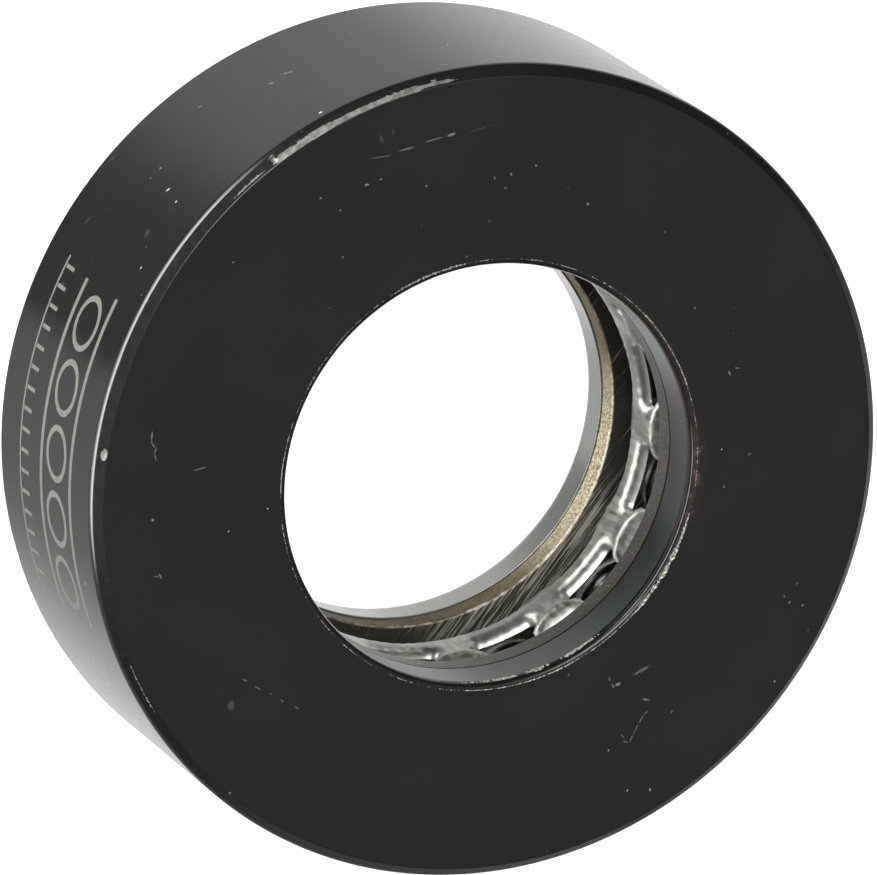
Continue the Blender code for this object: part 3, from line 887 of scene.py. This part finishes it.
def etched_bar(tree, along, height, middle, half):
    """A filled bar of the etched mark, with its middle and half size as (along the wall, up the wall)."""
    bar = 1.0
    for value, centre, reach in ((along, middle[0], half[0]), (height, middle[1], half[1])):
        off = add(tree, "Math", {0: value, 1: centre}, operation="SUBTRACT")
        off = add(tree, "Math", {0: off}, operation="ABSOLUTE")
        side = add(tree, "MapRange", {0: off, 1: reach + ETCH_FADE, 2: reach - ETCH_FADE}, **EASED)
        bar = add(tree, "Math", {0: bar, 1: side}, operation="MULTIPLY")
    return bar


def etched_mark(tree, along, height):
    """A plain drawing of balls between two plates, with a scale under it. It holds no lettering."""
    beside = add(tree, "Math", {0: along, 1: MARK_BALL_SPACING / 2}, operation="PINGPONG")
    above = add(tree, "Math", {0: height, 1: MARK_BALL_HEIGHT}, operation="SUBTRACT")
    away = add(tree, "VectorMath", {0: add(tree, "CombineXYZ", {0: beside, 1: above})}, operation="LENGTH")
    off = add(tree, "Math", {0: away, 1: MARK_BALL_RADIUS}, operation="SUBTRACT")
    off = add(tree, "Math", {0: off}, operation="ABSOLUTE")
    drawn = {0: off, 1: MARK_BALL_LINE + ETCH_FADE, 2: MARK_BALL_LINE - ETCH_FADE}
    balls = add(tree, "MapRange", drawn, **EASED)
    ball_row = (2.5 * MARK_BALL_SPACING, 2.0)
    row = etched_bar(tree, along, height, (0.0, MARK_BALL_HEIGHT), ball_row)
    balls = add(tree, "Math", {0: balls, 1: row}, operation="MULTIPLY")
    tick = add(tree, "Math", {0: along, 1: MARK_TICK_SPACING / 2}, operation="PINGPONG")
    ticks = add(tree, "MapRange", {0: tick, 1: 0.15, 2: 0.08}, **EASED)
    row = etched_bar(tree, along, height, (0.0, 4.6), (MARK_HALF, 0.6))
    ticks = add(tree, "Math", {0: ticks, 1: row}, operation="MULTIPLY")
    mark = add(tree, "Math", {0: balls, 1: ticks}, operation="MAXIMUM")
    for line_height, half_length, half_width in MARK_LINES:
        line = etched_bar(tree, along, height, (0.0, line_height), (half_length, half_width))
        mark = add(tree, "Math", {0: mark, 1: line}, operation="MAXIMUM")
    return mark


def oiled_black_oxide(name, bore_tone, bore_bareness):
    """Turned steel, blackened in a hot salt bath and oiled.

    The oxide is a thin dark skin that keeps the steel's turned surface, so it reads as a deep, slightly
    warm black with a clear oily gloss. It rubs through to bright steel on the edges, and the bore is
    given its own lighter tone and metalness.
    """
    material, tree, shader, point = new_finish(name)
    height, radius, way, flatness = ring_places(tree, point)
    on_flat = add(tree, "MapRange", {0: flatness, 1: 0.6, 2: 0.95}, **EASED)
    on_front = add(tree, "MapRange", {0: height, 1: FRONT_FACE - 0.3, 2: FRONT_FACE - 0.1}, **EASED)
    on_wall = add(tree, "MapRange", {0: radius, 1: OUTER_RADIUS - 0.12, 2: OUTER_RADIUS - 0.03}, **EASED)
    in_bore = add(tree, "MapRange", {0: radius, 1: BORE_RADIUS + 0.1, 2: BORE_RADIUS + 0.02}, **EASED)
    below_lip = add(tree, "MapRange", {0: height, 1: FRONT_FACE - 0.5, 2: FRONT_FACE - 0.65}, **EASED)
    in_bore = add(tree, "Math", {0: in_bore, 1: below_lip}, operation="MULTIPLY")

    # The oxide's crystals are far too fine to show, so the smallest grain here is drawn at 0.13 mm.
    broad, rust, brown, patches, fine, grain = (
        add(tree, "TexNoise", {"Vector": point, "Scale": 1 / size, "Detail": detail, "Roughness": 0.6})
        for size, detail in ((9.0, 4.0), (3.2, 4.0), (0.6, 4.0), (0.2, 4.0), (0.5, 6.0), (0.13, 2.0))
    )
    turning = turning_marks(tree, height, radius, way, 7.0, 3.0)
    warm = add(tree, "MapRange", {0: broad, 1: 0.35, 2: 0.7}, **EASED)
    rust = add(tree, "MapRange", {0: rust, 1: 0.6, 2: 0.8, 4: 0.4}, **EASED)
    brown = add(tree, "MapRange", {0: brown, 1: 0.3, 2: 0.6, 3: 0.25, 4: 0.9}, **EASED)
    brown_side = toward(tree, way, BROWN_LIP_WAY, 20, 50, 0.0, 1.0)
    near_lip = add(tree, "MapRange", {0: radius, 1: BORE_RADIUS + 0.7, 2: BORE_RADIUS + 0.3}, **EASED)
    lip_top = add(tree, "MapRange", {0: height, 1: FRONT_FACE - 0.8, 2: FRONT_FACE - 0.5}, **EASED)
    for mask in (brown_side, near_lip, lip_top):
        brown = add(tree, "Math", {0: brown, 1: mask}, operation="MULTIPLY")
    haze = add(tree, "MapRange", {0: fine, 1: 0.5, 2: 0.62, 3: 0.08, 4: 0.75}, **EASED)
    haze_side = toward(tree, way, HAZE_WAY, 9, 15, 0.0, 1.0)
    haze_ring = add(tree, "MapRange", {0: radius, 1: BORE_RADIUS + 1.1, 2: BORE_RADIUS + 0.5}, **EASED)
    for mask in (haze_side, haze_ring, on_flat):
        haze = add(tree, "Math", {0: haze, 1: mask}, operation="MULTIPLY")
    joint = add(tree, "Math", {0: height, 1: UNDER_PLATE}, operation="SUBTRACT")
    joint = add(tree, "Math", {0: joint}, operation="ABSOLUTE")
    joint = add(tree, "MapRange", {0: joint, 1: 0.12, 2: 0.03}, **EASED)
    joint = add(tree, "Math", {0: joint, 1: in_bore}, operation="MULTIPLY")

    parts = add(tree, "SeparateXYZ", {0: way})
    angle = add(tree, "Math", {0: parts.outputs["Y"], 1: parts.outputs["X"]}, operation="ARCTAN2")
    round_wall = add(tree, "Math", {0: angle, 1: OUTER_RADIUS}, operation="MULTIPLY")
    unrolled = add(tree, "CombineXYZ", {0: round_wall, 1: height})
    marks = handling_marks(tree, point, unrolled, on_front, on_wall)
    broken = add(tree, "MapRange", {0: grain, 1: 0.25, 2: 0.55}, **EASED)
    marks = add(tree, "Math", {0: marks, 1: broken}, operation="MULTIPLY")
    dust = {0: specks(tree, point, 1.1, 0.075, 0.2), 1: specks(tree, point, 2.9, 0.11, 0.25)}
    dust = add(tree, "Math", dust, operation="MAXIMUM")
    settled = add(tree, "MapRange", {0: flatness, 3: 0.25, 4: 0.6}, **EASED)
    dust = add(tree, "Math", {0: dust, 1: settled}, operation="MULTIPLY")
    rubbing = {"Vector": point, "Rotation": (0.0, 0.0, math.radians(35)), "Scale": (0.35, 7.0, 1.0)}
    rubbing = add(tree, "Mapping", rubbing)
    hairs = add(tree, "TexNoise", {"Vector": rubbing, "Scale": 1.0, "Detail": 2.0, "Roughness": 0.6})
    hairs = add(tree, "MapRange", {0: hairs, 1: 0.72, 2: 0.8, 4: 0.06}, **EASED)
    pale = add(tree, "Math", {0: marks, 1: dust}, operation="MAXIMUM")
    pale = add(tree, "Math", {0: pale, 1: hairs}, operation="MAXIMUM")

    along = math.radians(MARK_ANGLE) * OUTER_RADIUS
    along = add(tree, "Math", {0: round_wall, 1: along}, operation="SUBTRACT")
    etched = etched_mark(tree, along, height)
    patches = add(tree, "MapRange", {0: patches, 1: 0.25, 2: 0.5, 3: 0.6}, **EASED)
    for mask in (on_wall, patches):
        etched = add(tree, "Math", {0: etched, 1: mask}, operation="MULTIPLY")

    worn = add(tree, "Attribute", {}, attribute_name="worn")
    ragged = add(tree, "Math", {0: grain, 1: 0.9}, operation="MULTIPLY")
    ragged = add(tree, "Math", {0: ragged, 1: worn.outputs["Fac"]}, operation="ADD")
    bare = add(tree, "MapRange", {0: ragged, 1: 0.88, 2: 1.0}, **EASED)
    bright = add(tree, "MapRange", {0: fine, 1: 0.35, 2: 0.65}, **EASED)
    # Painted highlight: bare steel within about a millimetre of the bore turns near white in grainy spots.
    glint = add(tree, "MapRange", {0: radius, 1: BORE_RADIUS + 1.0, 2: BORE_RADIUS + 0.8}, **EASED)
    sparkle = add(tree, "MapRange", {0: grain, 1: 0.4, 2: 0.6}, **EASED)
    glint = add(tree, "Math", {0: glint, 1: sparkle}, operation="MULTIPLY")
    rubbed = {0: bright, 6: linear("#5c5d59"), 7: linear("#868680")}
    rubbed = add(tree, "Mix", rubbed, data_type="RGBA")
    rubbed = add(tree, "Mix", {0: glint, 6: rubbed, 7: linear("#e6e0d4")}, data_type="RGBA")

    colour = add(tree, "Mix", {0: warm, 6: linear("#101312"), 7: linear("#161715")}, data_type="RGBA")
    layers = (
        (rust, "#2a1f18"), (in_bore, bore_tone), (brown, "#2c2420"), (haze, "#5a4a40"), (joint, "#0c0c0b"),
        (pale, "#c2c3ba"), (etched, "#565650"),
    )
    for mask, tone in layers:
        colour = add(tree, "Mix", {0: mask, 6: colour, 7: linear(tone)}, data_type="RGBA")
    colour = add(tree, "Mix", {0: bare, 6: colour, 7: rubbed}, data_type="RGBA")

    bare_metal = add(tree, "Math", {0: bare, 1: 0.45}, operation="MULTIPLY")
    metal = add(tree, "Math", {0: in_bore, 1: bore_bareness}, operation="MULTIPLY")
    metal = add(tree, "Math", {0: bare_metal, 1: metal}, operation="MAXIMUM")
    gloss = add(tree, "MapRange", {0: flatness, 1: 0.6, 2: 0.95, 3: 0.15, 4: 0.3}, **EASED)
    smears = add(tree, "MapRange", {0: fine, 1: 0.2, 2: 0.8, 3: -0.02, 4: 0.05}, **EASED)
    gloss = add(tree, "Math", {0: gloss, 1: smears}, operation="ADD")
    for mask, dullness in ((bare, 0.45), (pale, 0.6), (etched, 0.62), (in_bore, 0.24)):
        dull = add(tree, "Math", {0: mask, 1: dullness}, operation="MULTIPLY")
        gloss = add(tree, "Math", {0: gloss, 1: dull}, operation="MAXIMUM")
    soft = add(tree, "Math", {0: fine, 1: 0.6}, operation="MULTIPLY")
    relief = add(tree, "Math", {0: turning, 1: soft}, operation="ADD")
    gouged = add(tree, "Math", {0: bare, 1: grain}, operation="MULTIPLY")
    gouged = add(tree, "Math", {0: gouged, 1: 5.0}, operation="MULTIPLY")
    relief = add(tree, "Math", {0: relief, 1: gouged}, operation="SUBTRACT")
    bump = add(tree, "Bump", {"Height": relief, "Strength": 0.12, "Distance": 0.02 * MM})
    looks = {"Base Color": colour, "Metallic": metal, "Roughness": gloss, "IOR": 1.55, "Normal": bump}
    fill(tree, shader, looks)
    return material


def ground_bearing_steel(name, bore, joint_height, face_tone, bore_tones, roughness, rubbed):
    """Hardened bearing steel, ground and then oiled.

    Grinding leaves fine straight scratches, and old oil browns the metal, so it reads as a dull warm grey
    with a grainy sheen and a few bright streaks. The bright streaks on one side of the face are a painted
    highlight, as is the pale patch on one side of the bore, whose strength rubbed sets. The scratches are
    drawn coarser than real ones.
    """
    material, tree, shader, point = new_finish(name)
    height, radius, way, flatness = ring_places(tree, point)
    on_flat = add(tree, "MapRange", {0: flatness, 1: 0.7, 2: 0.97}, **EASED)
    in_bore = add(tree, "MapRange", {0: radius, 1: bore + 0.16, 2: bore + 0.08}, **EASED)
    blotch, brown, mottled, grain = (
        add(tree, "TexNoise", {"Vector": point, "Scale": 1 / size, "Detail": detail, "Roughness": 0.6})
        for size, detail in ((2.2, 4.0), (1.3, 4.0), (0.14, 6.0), (0.12, 3.0))
    )
    rings = turning_marks(tree, height, radius, way, 9.0, 5.0)
    grinding = {"Vector": point, "Rotation": (0.0, 0.0, math.radians(28)), "Scale": (0.25, 8.0, 1.0)}
    grinding = add(tree, "Mapping", grinding)
    streaks = add(tree, "TexNoise", {"Vector": grinding, "Scale": 1.0, "Detail": 4.0, "Roughness": 0.7})

    deep = add(tree, "MapRange", {0: streaks, 1: 0.6, 2: 0.7}, **EASED)
    patches = add(tree, "MapRange", {0: blotch, 1: 0.4, 2: 0.6, 3: 0.15, 4: 0.9}, **EASED)
    deep = add(tree, "Math", {0: deep, 1: patches}, operation="MULTIPLY")
    # Painted highlight: on one side of the ring more grinding scratches turn pale, where they would catch the
    # light.
    bright = add(tree, "MapRange", {0: streaks, 1: 0.46, 2: 0.6}, **EASED)
    grinding_highlight_side = toward(tree, way, GRINDING_HIGHLIGHT_WAY, 18, 40, 0.0, 0.85)
    bright = add(tree, "Math", {0: bright, 1: grinding_highlight_side}, operation="MULTIPLY")
    # The pale scratches are real bared grinding scratches everywhere, plus the painted highlight on one side.
    scratches = add(tree, "Math", {0: deep, 1: bright}, operation="MAXIMUM")
    scratches = add(tree, "Math", {0: scratches, 1: on_flat}, operation="MULTIPLY")
    worn = add(tree, "Attribute", {}, attribute_name="worn")
    bare = add(tree, "MapRange", {0: grain, 1: 0.35, 2: 0.55, 3: 0.2, 4: 0.9}, **EASED)
    bare = add(tree, "Math", {0: bare, 1: worn.outputs["Fac"]}, operation="MULTIPLY")
    bare = add(tree, "Math", {0: scratches, 1: bare}, operation="MAXIMUM")

    stained = add(tree, "MapRange", {0: blotch, 1: 0.35, 2: 0.68}, **EASED)
    brown = add(tree, "MapRange", {0: brown, 1: 0.52, 2: 0.7, 4: 0.7}, **EASED)
    sparkle = add(tree, "MapRange", {0: grain, 1: 0.55, 2: 0.7, 4: 0.55}, **EASED)
    # Painted highlight: one side of the bore is lightened toward pale gold in grainy spots, as strongly as
    # rubbed sets.
    polished = add(tree, "MapRange", {0: mottled, 1: 0.42, 2: 0.62, 3: 0.1}, **EASED)
    bore_highlight_side = toward(tree, way, BORE_HIGHLIGHT_WAY, 4, 38, 0.0, rubbed)
    polished = add(tree, "Math", {0: polished, 1: bore_highlight_side}, operation="MULTIPLY")
    wall = {0: stained, 6: linear(bore_tones[0]), 7: linear(bore_tones[1])}
    wall = add(tree, "Mix", wall, data_type="RGBA")
    for mask, tone in ((brown, bore_tones[2]), (sparkle, "#cfc9b4"), (polished, "#d9cfb4")):
        wall = add(tree, "Mix", {0: mask, 6: wall, 7: linear(tone)}, data_type="RGBA")
    joint = {0: height, 1: joint_height - 0.12, 2: joint_height - 0.05}
    joint = add(tree, "MapRange", joint, **EASED)
    joint = add(tree, "Math", {0: joint, 1: in_bore}, operation="MULTIPLY")
    colour = add(tree, "Mix", {0: in_bore, 6: linear(face_tone), 7: wall}, data_type="RGBA")
    colour = add(tree, "Mix", {0: bare, 6: colour, 7: linear("#d9d6c9")}, data_type="RGBA")
    colour = add(tree, "Mix", {0: joint, 6: colour, 7: linear("#141210")}, data_type="RGBA")

    dull = {0: grain, 1: 0.3, 2: 0.7, 3: roughness - 0.06, 4: roughness + 0.1}
    dull = add(tree, "MapRange", dull, **EASED)
    relief = add(tree, "Math", {0: grain, 1: 2.5}, operation="MULTIPLY")
    relief = add(tree, "Math", {0: relief, 1: rings}, operation="ADD")
    ground = add(tree, "Math", {0: streaks, 1: on_flat}, operation="MULTIPLY")
    ground = add(tree, "Math", {0: ground, 1: 3.0}, operation="MULTIPLY")
    relief = add(tree, "Math", {0: relief, 1: ground}, operation="ADD")
    bump = add(tree, "Bump", {"Height": relief, "Strength": 0.4, "Distance": 0.03 * MM})
    fill(tree, shader, {"Base Color": colour, "Metallic": 1.0, "Roughness": dull, "Normal": bump})
    return material


def pressed_bright_steel():
    """Cold-rolled strip, pressed and left bright: burnished by the press, with drag lines and soft dents."""
    material, tree, shader, point = new_finish("pressed bright steel strip")
    pulled = add(tree, "Mapping", {"Vector": point, "Scale": (3.0, 3.0, 0.5)})
    drag = add(tree, "TexNoise", {"Vector": pulled, "Scale": 1.0, "Detail": 5.0, "Roughness": 0.6})
    blotch = add(tree, "TexNoise", {"Vector": point, "Scale": 1 / 1.6, "Detail": 4.0, "Roughness": 0.6})
    grain = add(tree, "TexNoise", {"Vector": point, "Scale": 1 / 0.11, "Detail": 2.0, "Roughness": 0.6})
    worn = add(tree, "Attribute", {}, attribute_name="worn")
    rubbed = add(tree, "MapRange", {0: worn.outputs["Fac"], 1: 0.1, 2: 0.9, 4: 0.8}, **EASED)
    blotched = add(tree, "MapRange", {0: blotch, 1: 0.35, 2: 0.7}, **EASED)
    burnished = add(tree, "MapRange", {0: drag, 1: 0.3, 2: 0.6}, **EASED)
    colour = {0: blotched, 6: linear("#d2d0c8"), 7: linear("#aeaca5")}
    colour = add(tree, "Mix", colour, data_type="RGBA")
    colour = add(tree, "Mix", {0: burnished, 6: linear("#a09e96"), 7: colour}, data_type="RGBA")
    colour = add(tree, "Mix", {0: rubbed, 6: colour, 7: linear("#eceae3")}, data_type="RGBA")
    dull = add(tree, "MapRange", {0: drag, 1: 0.3, 2: 0.7, 3: 0.3, 4: 0.42}, **EASED)
    relief = add(tree, "Math", {0: grain, 1: 0.2}, operation="MULTIPLY")
    relief = add(tree, "Math", {0: relief, 1: drag}, operation="ADD")
    bump = add(tree, "Bump", {"Height": relief, "Strength": 0.2, "Distance": 0.06 * MM})
    fill(tree, shader, {"Base Color": colour, "Metallic": 1.0, "Roughness": dull, "Normal": bump})
    return material


def lapped_ball_steel():
    """Through-hardened chrome steel, lapped to a mirror, under a thin film of oil."""
    material, tree, shader, point = new_finish("lapped chrome steel")
    film = add(tree, "TexNoise", {"Vector": point, "Scale": 1 / 1.8, "Detail": 4.0, "Roughness": 0.6})
    rolling = {"Vector": point, "Rotation": (0.0, 0.0, math.radians(20)), "Scale": (1.0, 9.0, 9.0)}
    rolling = add(tree, "Mapping", rolling)
    lines = add(tree, "TexNoise", {"Vector": rolling, "Scale": 1.0, "Detail": 2.0, "Roughness": 0.6})
    lines = add(tree, "MapRange", {0: lines, 1: 0.66, 2: 0.74, 4: 0.5}, **EASED)
    oily = add(tree, "MapRange", {0: film, 1: 0.4, 2: 0.7}, **EASED)
    colour = add(tree, "Mix", {0: oily, 6: linear("#b4b6b8"), 7: linear("#8e9092")}, data_type="RGBA")
    colour = add(tree, "Mix", {0: lines, 6: colour, 7: linear("#d8d8d6")}, data_type="RGBA")
    dull = add(tree, "MapRange", {0: film, 1: 0.3, 2: 0.7, 3: 0.05, 4: 0.12}, **EASED)
    fill(tree, shader, {"Base Color": colour, "Metallic": 1.0, "Roughness": dull})
    return material


def phosphated_spring_steel():
    """Spring strip with a grey phosphate coat: a dull, finely crystalline dark grey that rubs bright.

    Its crystals are about a hundredth of a millimetre, and are drawn at 0.09 mm.
    """
    material, tree, shader, point = new_finish("phosphated spring steel")
    crystals = {"Vector": point, "Scale": 1 / 0.09, "Detail": 2.0, "Roughness": 0.6}
    crystals = add(tree, "TexNoise", crystals)
    blotch = add(tree, "TexNoise", {"Vector": point, "Scale": 1 / 1.4, "Detail": 4.0, "Roughness": 0.6})
    blotched = add(tree, "MapRange", {0: blotch, 1: 0.35, 2: 0.7}, **EASED)
    bright = add(tree, "MapRange", {0: crystals, 1: 0.58, 2: 0.7, 4: 0.6}, **EASED)
    colour = {0: blotched, 6: linear("#2c2e30"), 7: linear("#3b3d3e")}
    colour = add(tree, "Mix", colour, data_type="RGBA")
    colour = add(tree, "Mix", {0: bright, 6: colour, 7: linear("#6c6e6e")}, data_type="RGBA")
    dull = add(tree, "MapRange", {0: crystals, 1: 0.3, 2: 0.7, 3: 0.42, 4: 0.6}, **EASED)
    bump = add(tree, "Bump", {"Height": crystals, "Strength": 0.3, "Distance": 0.02 * MM})
    fill(tree, shader, {"Base Color": colour, "Metallic": 0.4, "Roughness": dull, "Normal": bump})
    return material


# ---------------------------------------------------------------- studio

# Ways that light comes from, seen from the bearing.
SWEEP_WAY = (-0.047, 0.442, -0.896)
SIDE_WAY = (-0.35, 0.35, -0.87)
BOX_WAY = (-0.3, -0.55, 0.79)
# The strip's four sides: the axis, where it starts and where it is full.
STRIP_SIDES = (("Z", -0.62, -0.52), ("Z", 0.17, 0.08), ("Y", -0.35, -0.6), ("X", -0.45, -0.15))


def light_studio():
    """A white sweep behind and below, a dim side light and card, an even sky, a soft box, a low strip."""
    world = bpy.data.worlds.new("soft studio")
    bpy.context.scene.world = world
    world.use_nodes = True
    tree = world.node_tree
    direction = add(tree, "TexCoord", {}).outputs["Generated"]
    parts = add(tree, "SeparateXYZ", {0: direction})
    east, height = parts.outputs["X"], parts.outputs["Z"]
    below = toward(tree, direction, SWEEP_WAY, 19, 45, 0.07, 1.0)
    side = toward(tree, direction, SIDE_WAY, 40, 51, 0.0, 0.63)
    card = add(tree, "MapRange", {0: east, 1: 0.255, 2: 0.275, 4: 0.42}, **EASED)
    for light in (side, card):
        below = add(tree, "Math", {0: below, 1: light}, operation="MAXIMUM")
    above = add(tree, "MapRange", {0: height, 1: 0.2, 2: 0.8, 3: 0.1, 4: 0.36}, **EASED)
    box = toward(tree, direction, BOX_WAY, 17, 22, 0.0, 6.0)
    above = add(tree, "Math", {0: above, 1: box}, operation="ADD")
    horizon = add(tree, "MapRange", {0: height, 1: -0.05, 2: 0.02}, **EASED)
    strength = add(tree, "Mix", {0: horizon, 2: below, 3: above}, data_type="FLOAT")
    strip = add(tree, "MapRange", {0: height, 1: -0.3, 2: -0.2, 3: 5.0, 4: 15.0}, **EASED)
    for axis, start, full in STRIP_SIDES:
        edge = add(tree, "MapRange", {0: parts.outputs[axis], 1: start, 2: full}, **EASED)
        strip = add(tree, "Math", {0: strip, 1: edge}, operation="MULTIPLY")
    strength = add(tree, "Math", {0: strength, 1: strip}, operation="MAXIMUM")
    background = {"Color": (0.98, 1.0, 0.985, 1.0), "Strength": strength}
    fill(tree, tree.nodes["Background"], background)


# The floor lies a hair below the bearing's rear face, so the two never flicker through each other.
# Both lengths here are in metres.
FLOOR_GAP = 0.0002
FLOOR_REACH = 2.2


def make_floor():
    """A pale floor that glows enough to stay white, under a pale sky that only the camera sees."""
    material = bpy.data.materials.new("pale floor")
    material.use_nodes = True
    shader = material.node_tree.nodes["Principled BSDF"]
    shader.inputs["Base Color"].default_value = (0.8, 0.8, 0.8, 1.0)
    shader.inputs["Roughness"].default_value = 0.9
    shader.inputs["Emission Color"].default_value = (1.0, 1.0, 1.0, 1.0)
    shader.inputs["Emission Strength"].default_value = 0.9
    shape = bmesh.new()
    bmesh.ops.create_grid(shape, x_segments=8, y_segments=8, size=FLOOR_REACH)
    floor = stage_piece("floor", shape, material)
    floor.location.z = CAD_LOW.z - FLOOR_GAP
    shape = bmesh.new()
    bmesh.ops.create_uvsphere(shape, u_segments=48, v_segments=24, radius=FLOOR_REACH)
    sky_material = bpy.data.materials.new("pale backdrop")
    sky_material.use_nodes = True
    glow = sky_material.node_tree.nodes["Principled BSDF"]
    glow.inputs["Base Color"].default_value = (0.0, 0.0, 0.0, 1.0)
    glow.inputs["Emission Color"].default_value = (1.0, 1.0, 1.0, 1.0)
    glow.inputs["Emission Strength"].default_value = 1.0
    stage_piece("backdrop", shape, sky_material)


def stage_piece(name, shape, material):
    """A floor or backdrop that the camera sees, and that the bearing neither mirrors nor is shaded by."""
    mesh = bpy.data.meshes.new(name)
    shape.to_mesh(mesh)
    shape.free()
    mesh.materials.append(material)
    piece = bpy.data.objects.new(name, mesh)
    bpy.context.scene.collection.objects.link(piece)
    piece.visible_glossy = False
    piece.visible_diffuse = False
    piece.visible_shadow = False
    return piece


# The camera stands on the bearing's -Y side, looks down on the front face and is rolled about its own view.
CAMERA_ELEVATION = math.radians(63.64)
CAMERA_ROLL = math.radians(125.87)
CAMERA_DISTANCE = 671.6
CAMERA_RIGHT = -2.9
CAMERA_UP = 2.13
CAMERA_LENS = 494.5


def place_camera():
    """A long lens, aimed at the middle of the front face and moved a little sideways."""
    elevation = CAMERA_ELEVATION
    roll = CAMERA_ROLL
    back = Vector((0.0, -math.cos(elevation), math.sin(elevation)))
    level_right = Vector((1.0, 0.0, 0.0))
    level_up = Vector((0.0, math.sin(elevation), math.cos(elevation)))
    right = level_right * math.cos(roll) + level_up * math.sin(roll)
    up = level_up * math.cos(roll) - level_right * math.sin(roll)
    aim = Vector((0.0, 0.0, FRONT_FACE))
    camera_data = bpy.data.cameras.new("camera")
    camera_data.lens = CAMERA_LENS
    camera_data.sensor_width = 36.0
    camera_data.clip_end = 10.0
    camera = bpy.data.objects.new("camera", camera_data)
    bpy.context.scene.collection.objects.link(camera)
    place = (aim + back * CAMERA_DISTANCE + right * CAMERA_RIGHT + up * CAMERA_UP) * MM
    camera.matrix_world = Matrix.Translation(place) @ Matrix((right, up, back)).transposed().to_4x4()
    bpy.context.scene.camera = camera


# ---------------------------------------------------------------- assembly


def dress(piece, material, body, node, slot):
    """Gives a piece its finish and its CAD body, and hides the CAD node it stands for. The slot is not used.
    """
    piece.data.materials.clear()
    piece.data.materials.append(material)
    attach(piece, body)
    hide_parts(node)


def build_bearing():
    cup_black = oiled_black_oxide("oiled black oxide, housing cup", "#343a38", 0.0)
    carrier_black = oiled_black_oxide("oiled black oxide, rear carrier", "#b9bbb6", 0.9)
    # The last number given to each race is how strong the painted highlight on one side of its bore is.
    front_steel = ground_bearing_steel(
        "ground bearing steel, front race", BORE_RADIUS, FRONT_RACE_HIGH.z, "#6e6b64",
        ("#66655f", "#5b5852", "#574838"), 0.34, 0.1,
    )
    rear_steel = ground_bearing_steel(
        "ground bearing steel, rear race", REAR_RACE_BORE, FRONT_FACE, "#4b483f",
        ("#7f7560", "#6a5f4b", "#54472f"), 0.56, 0.9,
    )
    dress(make_housing(), cup_black, "housing", "housing", "black_oxide")
    dress(make_front_race(), front_steel, "housing", "front_race", "ground_steel")
    dress(make_snap_ring(), phosphated_spring_steel(), "housing", "snap_ring", "spring_steel")
    dress(make_rear_race(), rear_steel, "carrier", "rear_race", "ground_steel")
    dress(make_rear_carrier(), carrier_black, "carrier", "rear_carrier", "black_oxide")
    dress(make_cage(), pressed_bright_steel(), "cage", "ball_cage", "pressed_steel")
    polished = lapped_ball_steel()
    for ball, node in zip(make_balls(), BALL_NODES):
        dress(ball, polished, node, node, "ball_steel")


build_bearing()
make_floor()
light_studio()
place_camera()
bpy.context.scene.view_settings.view_transform = "Standard"
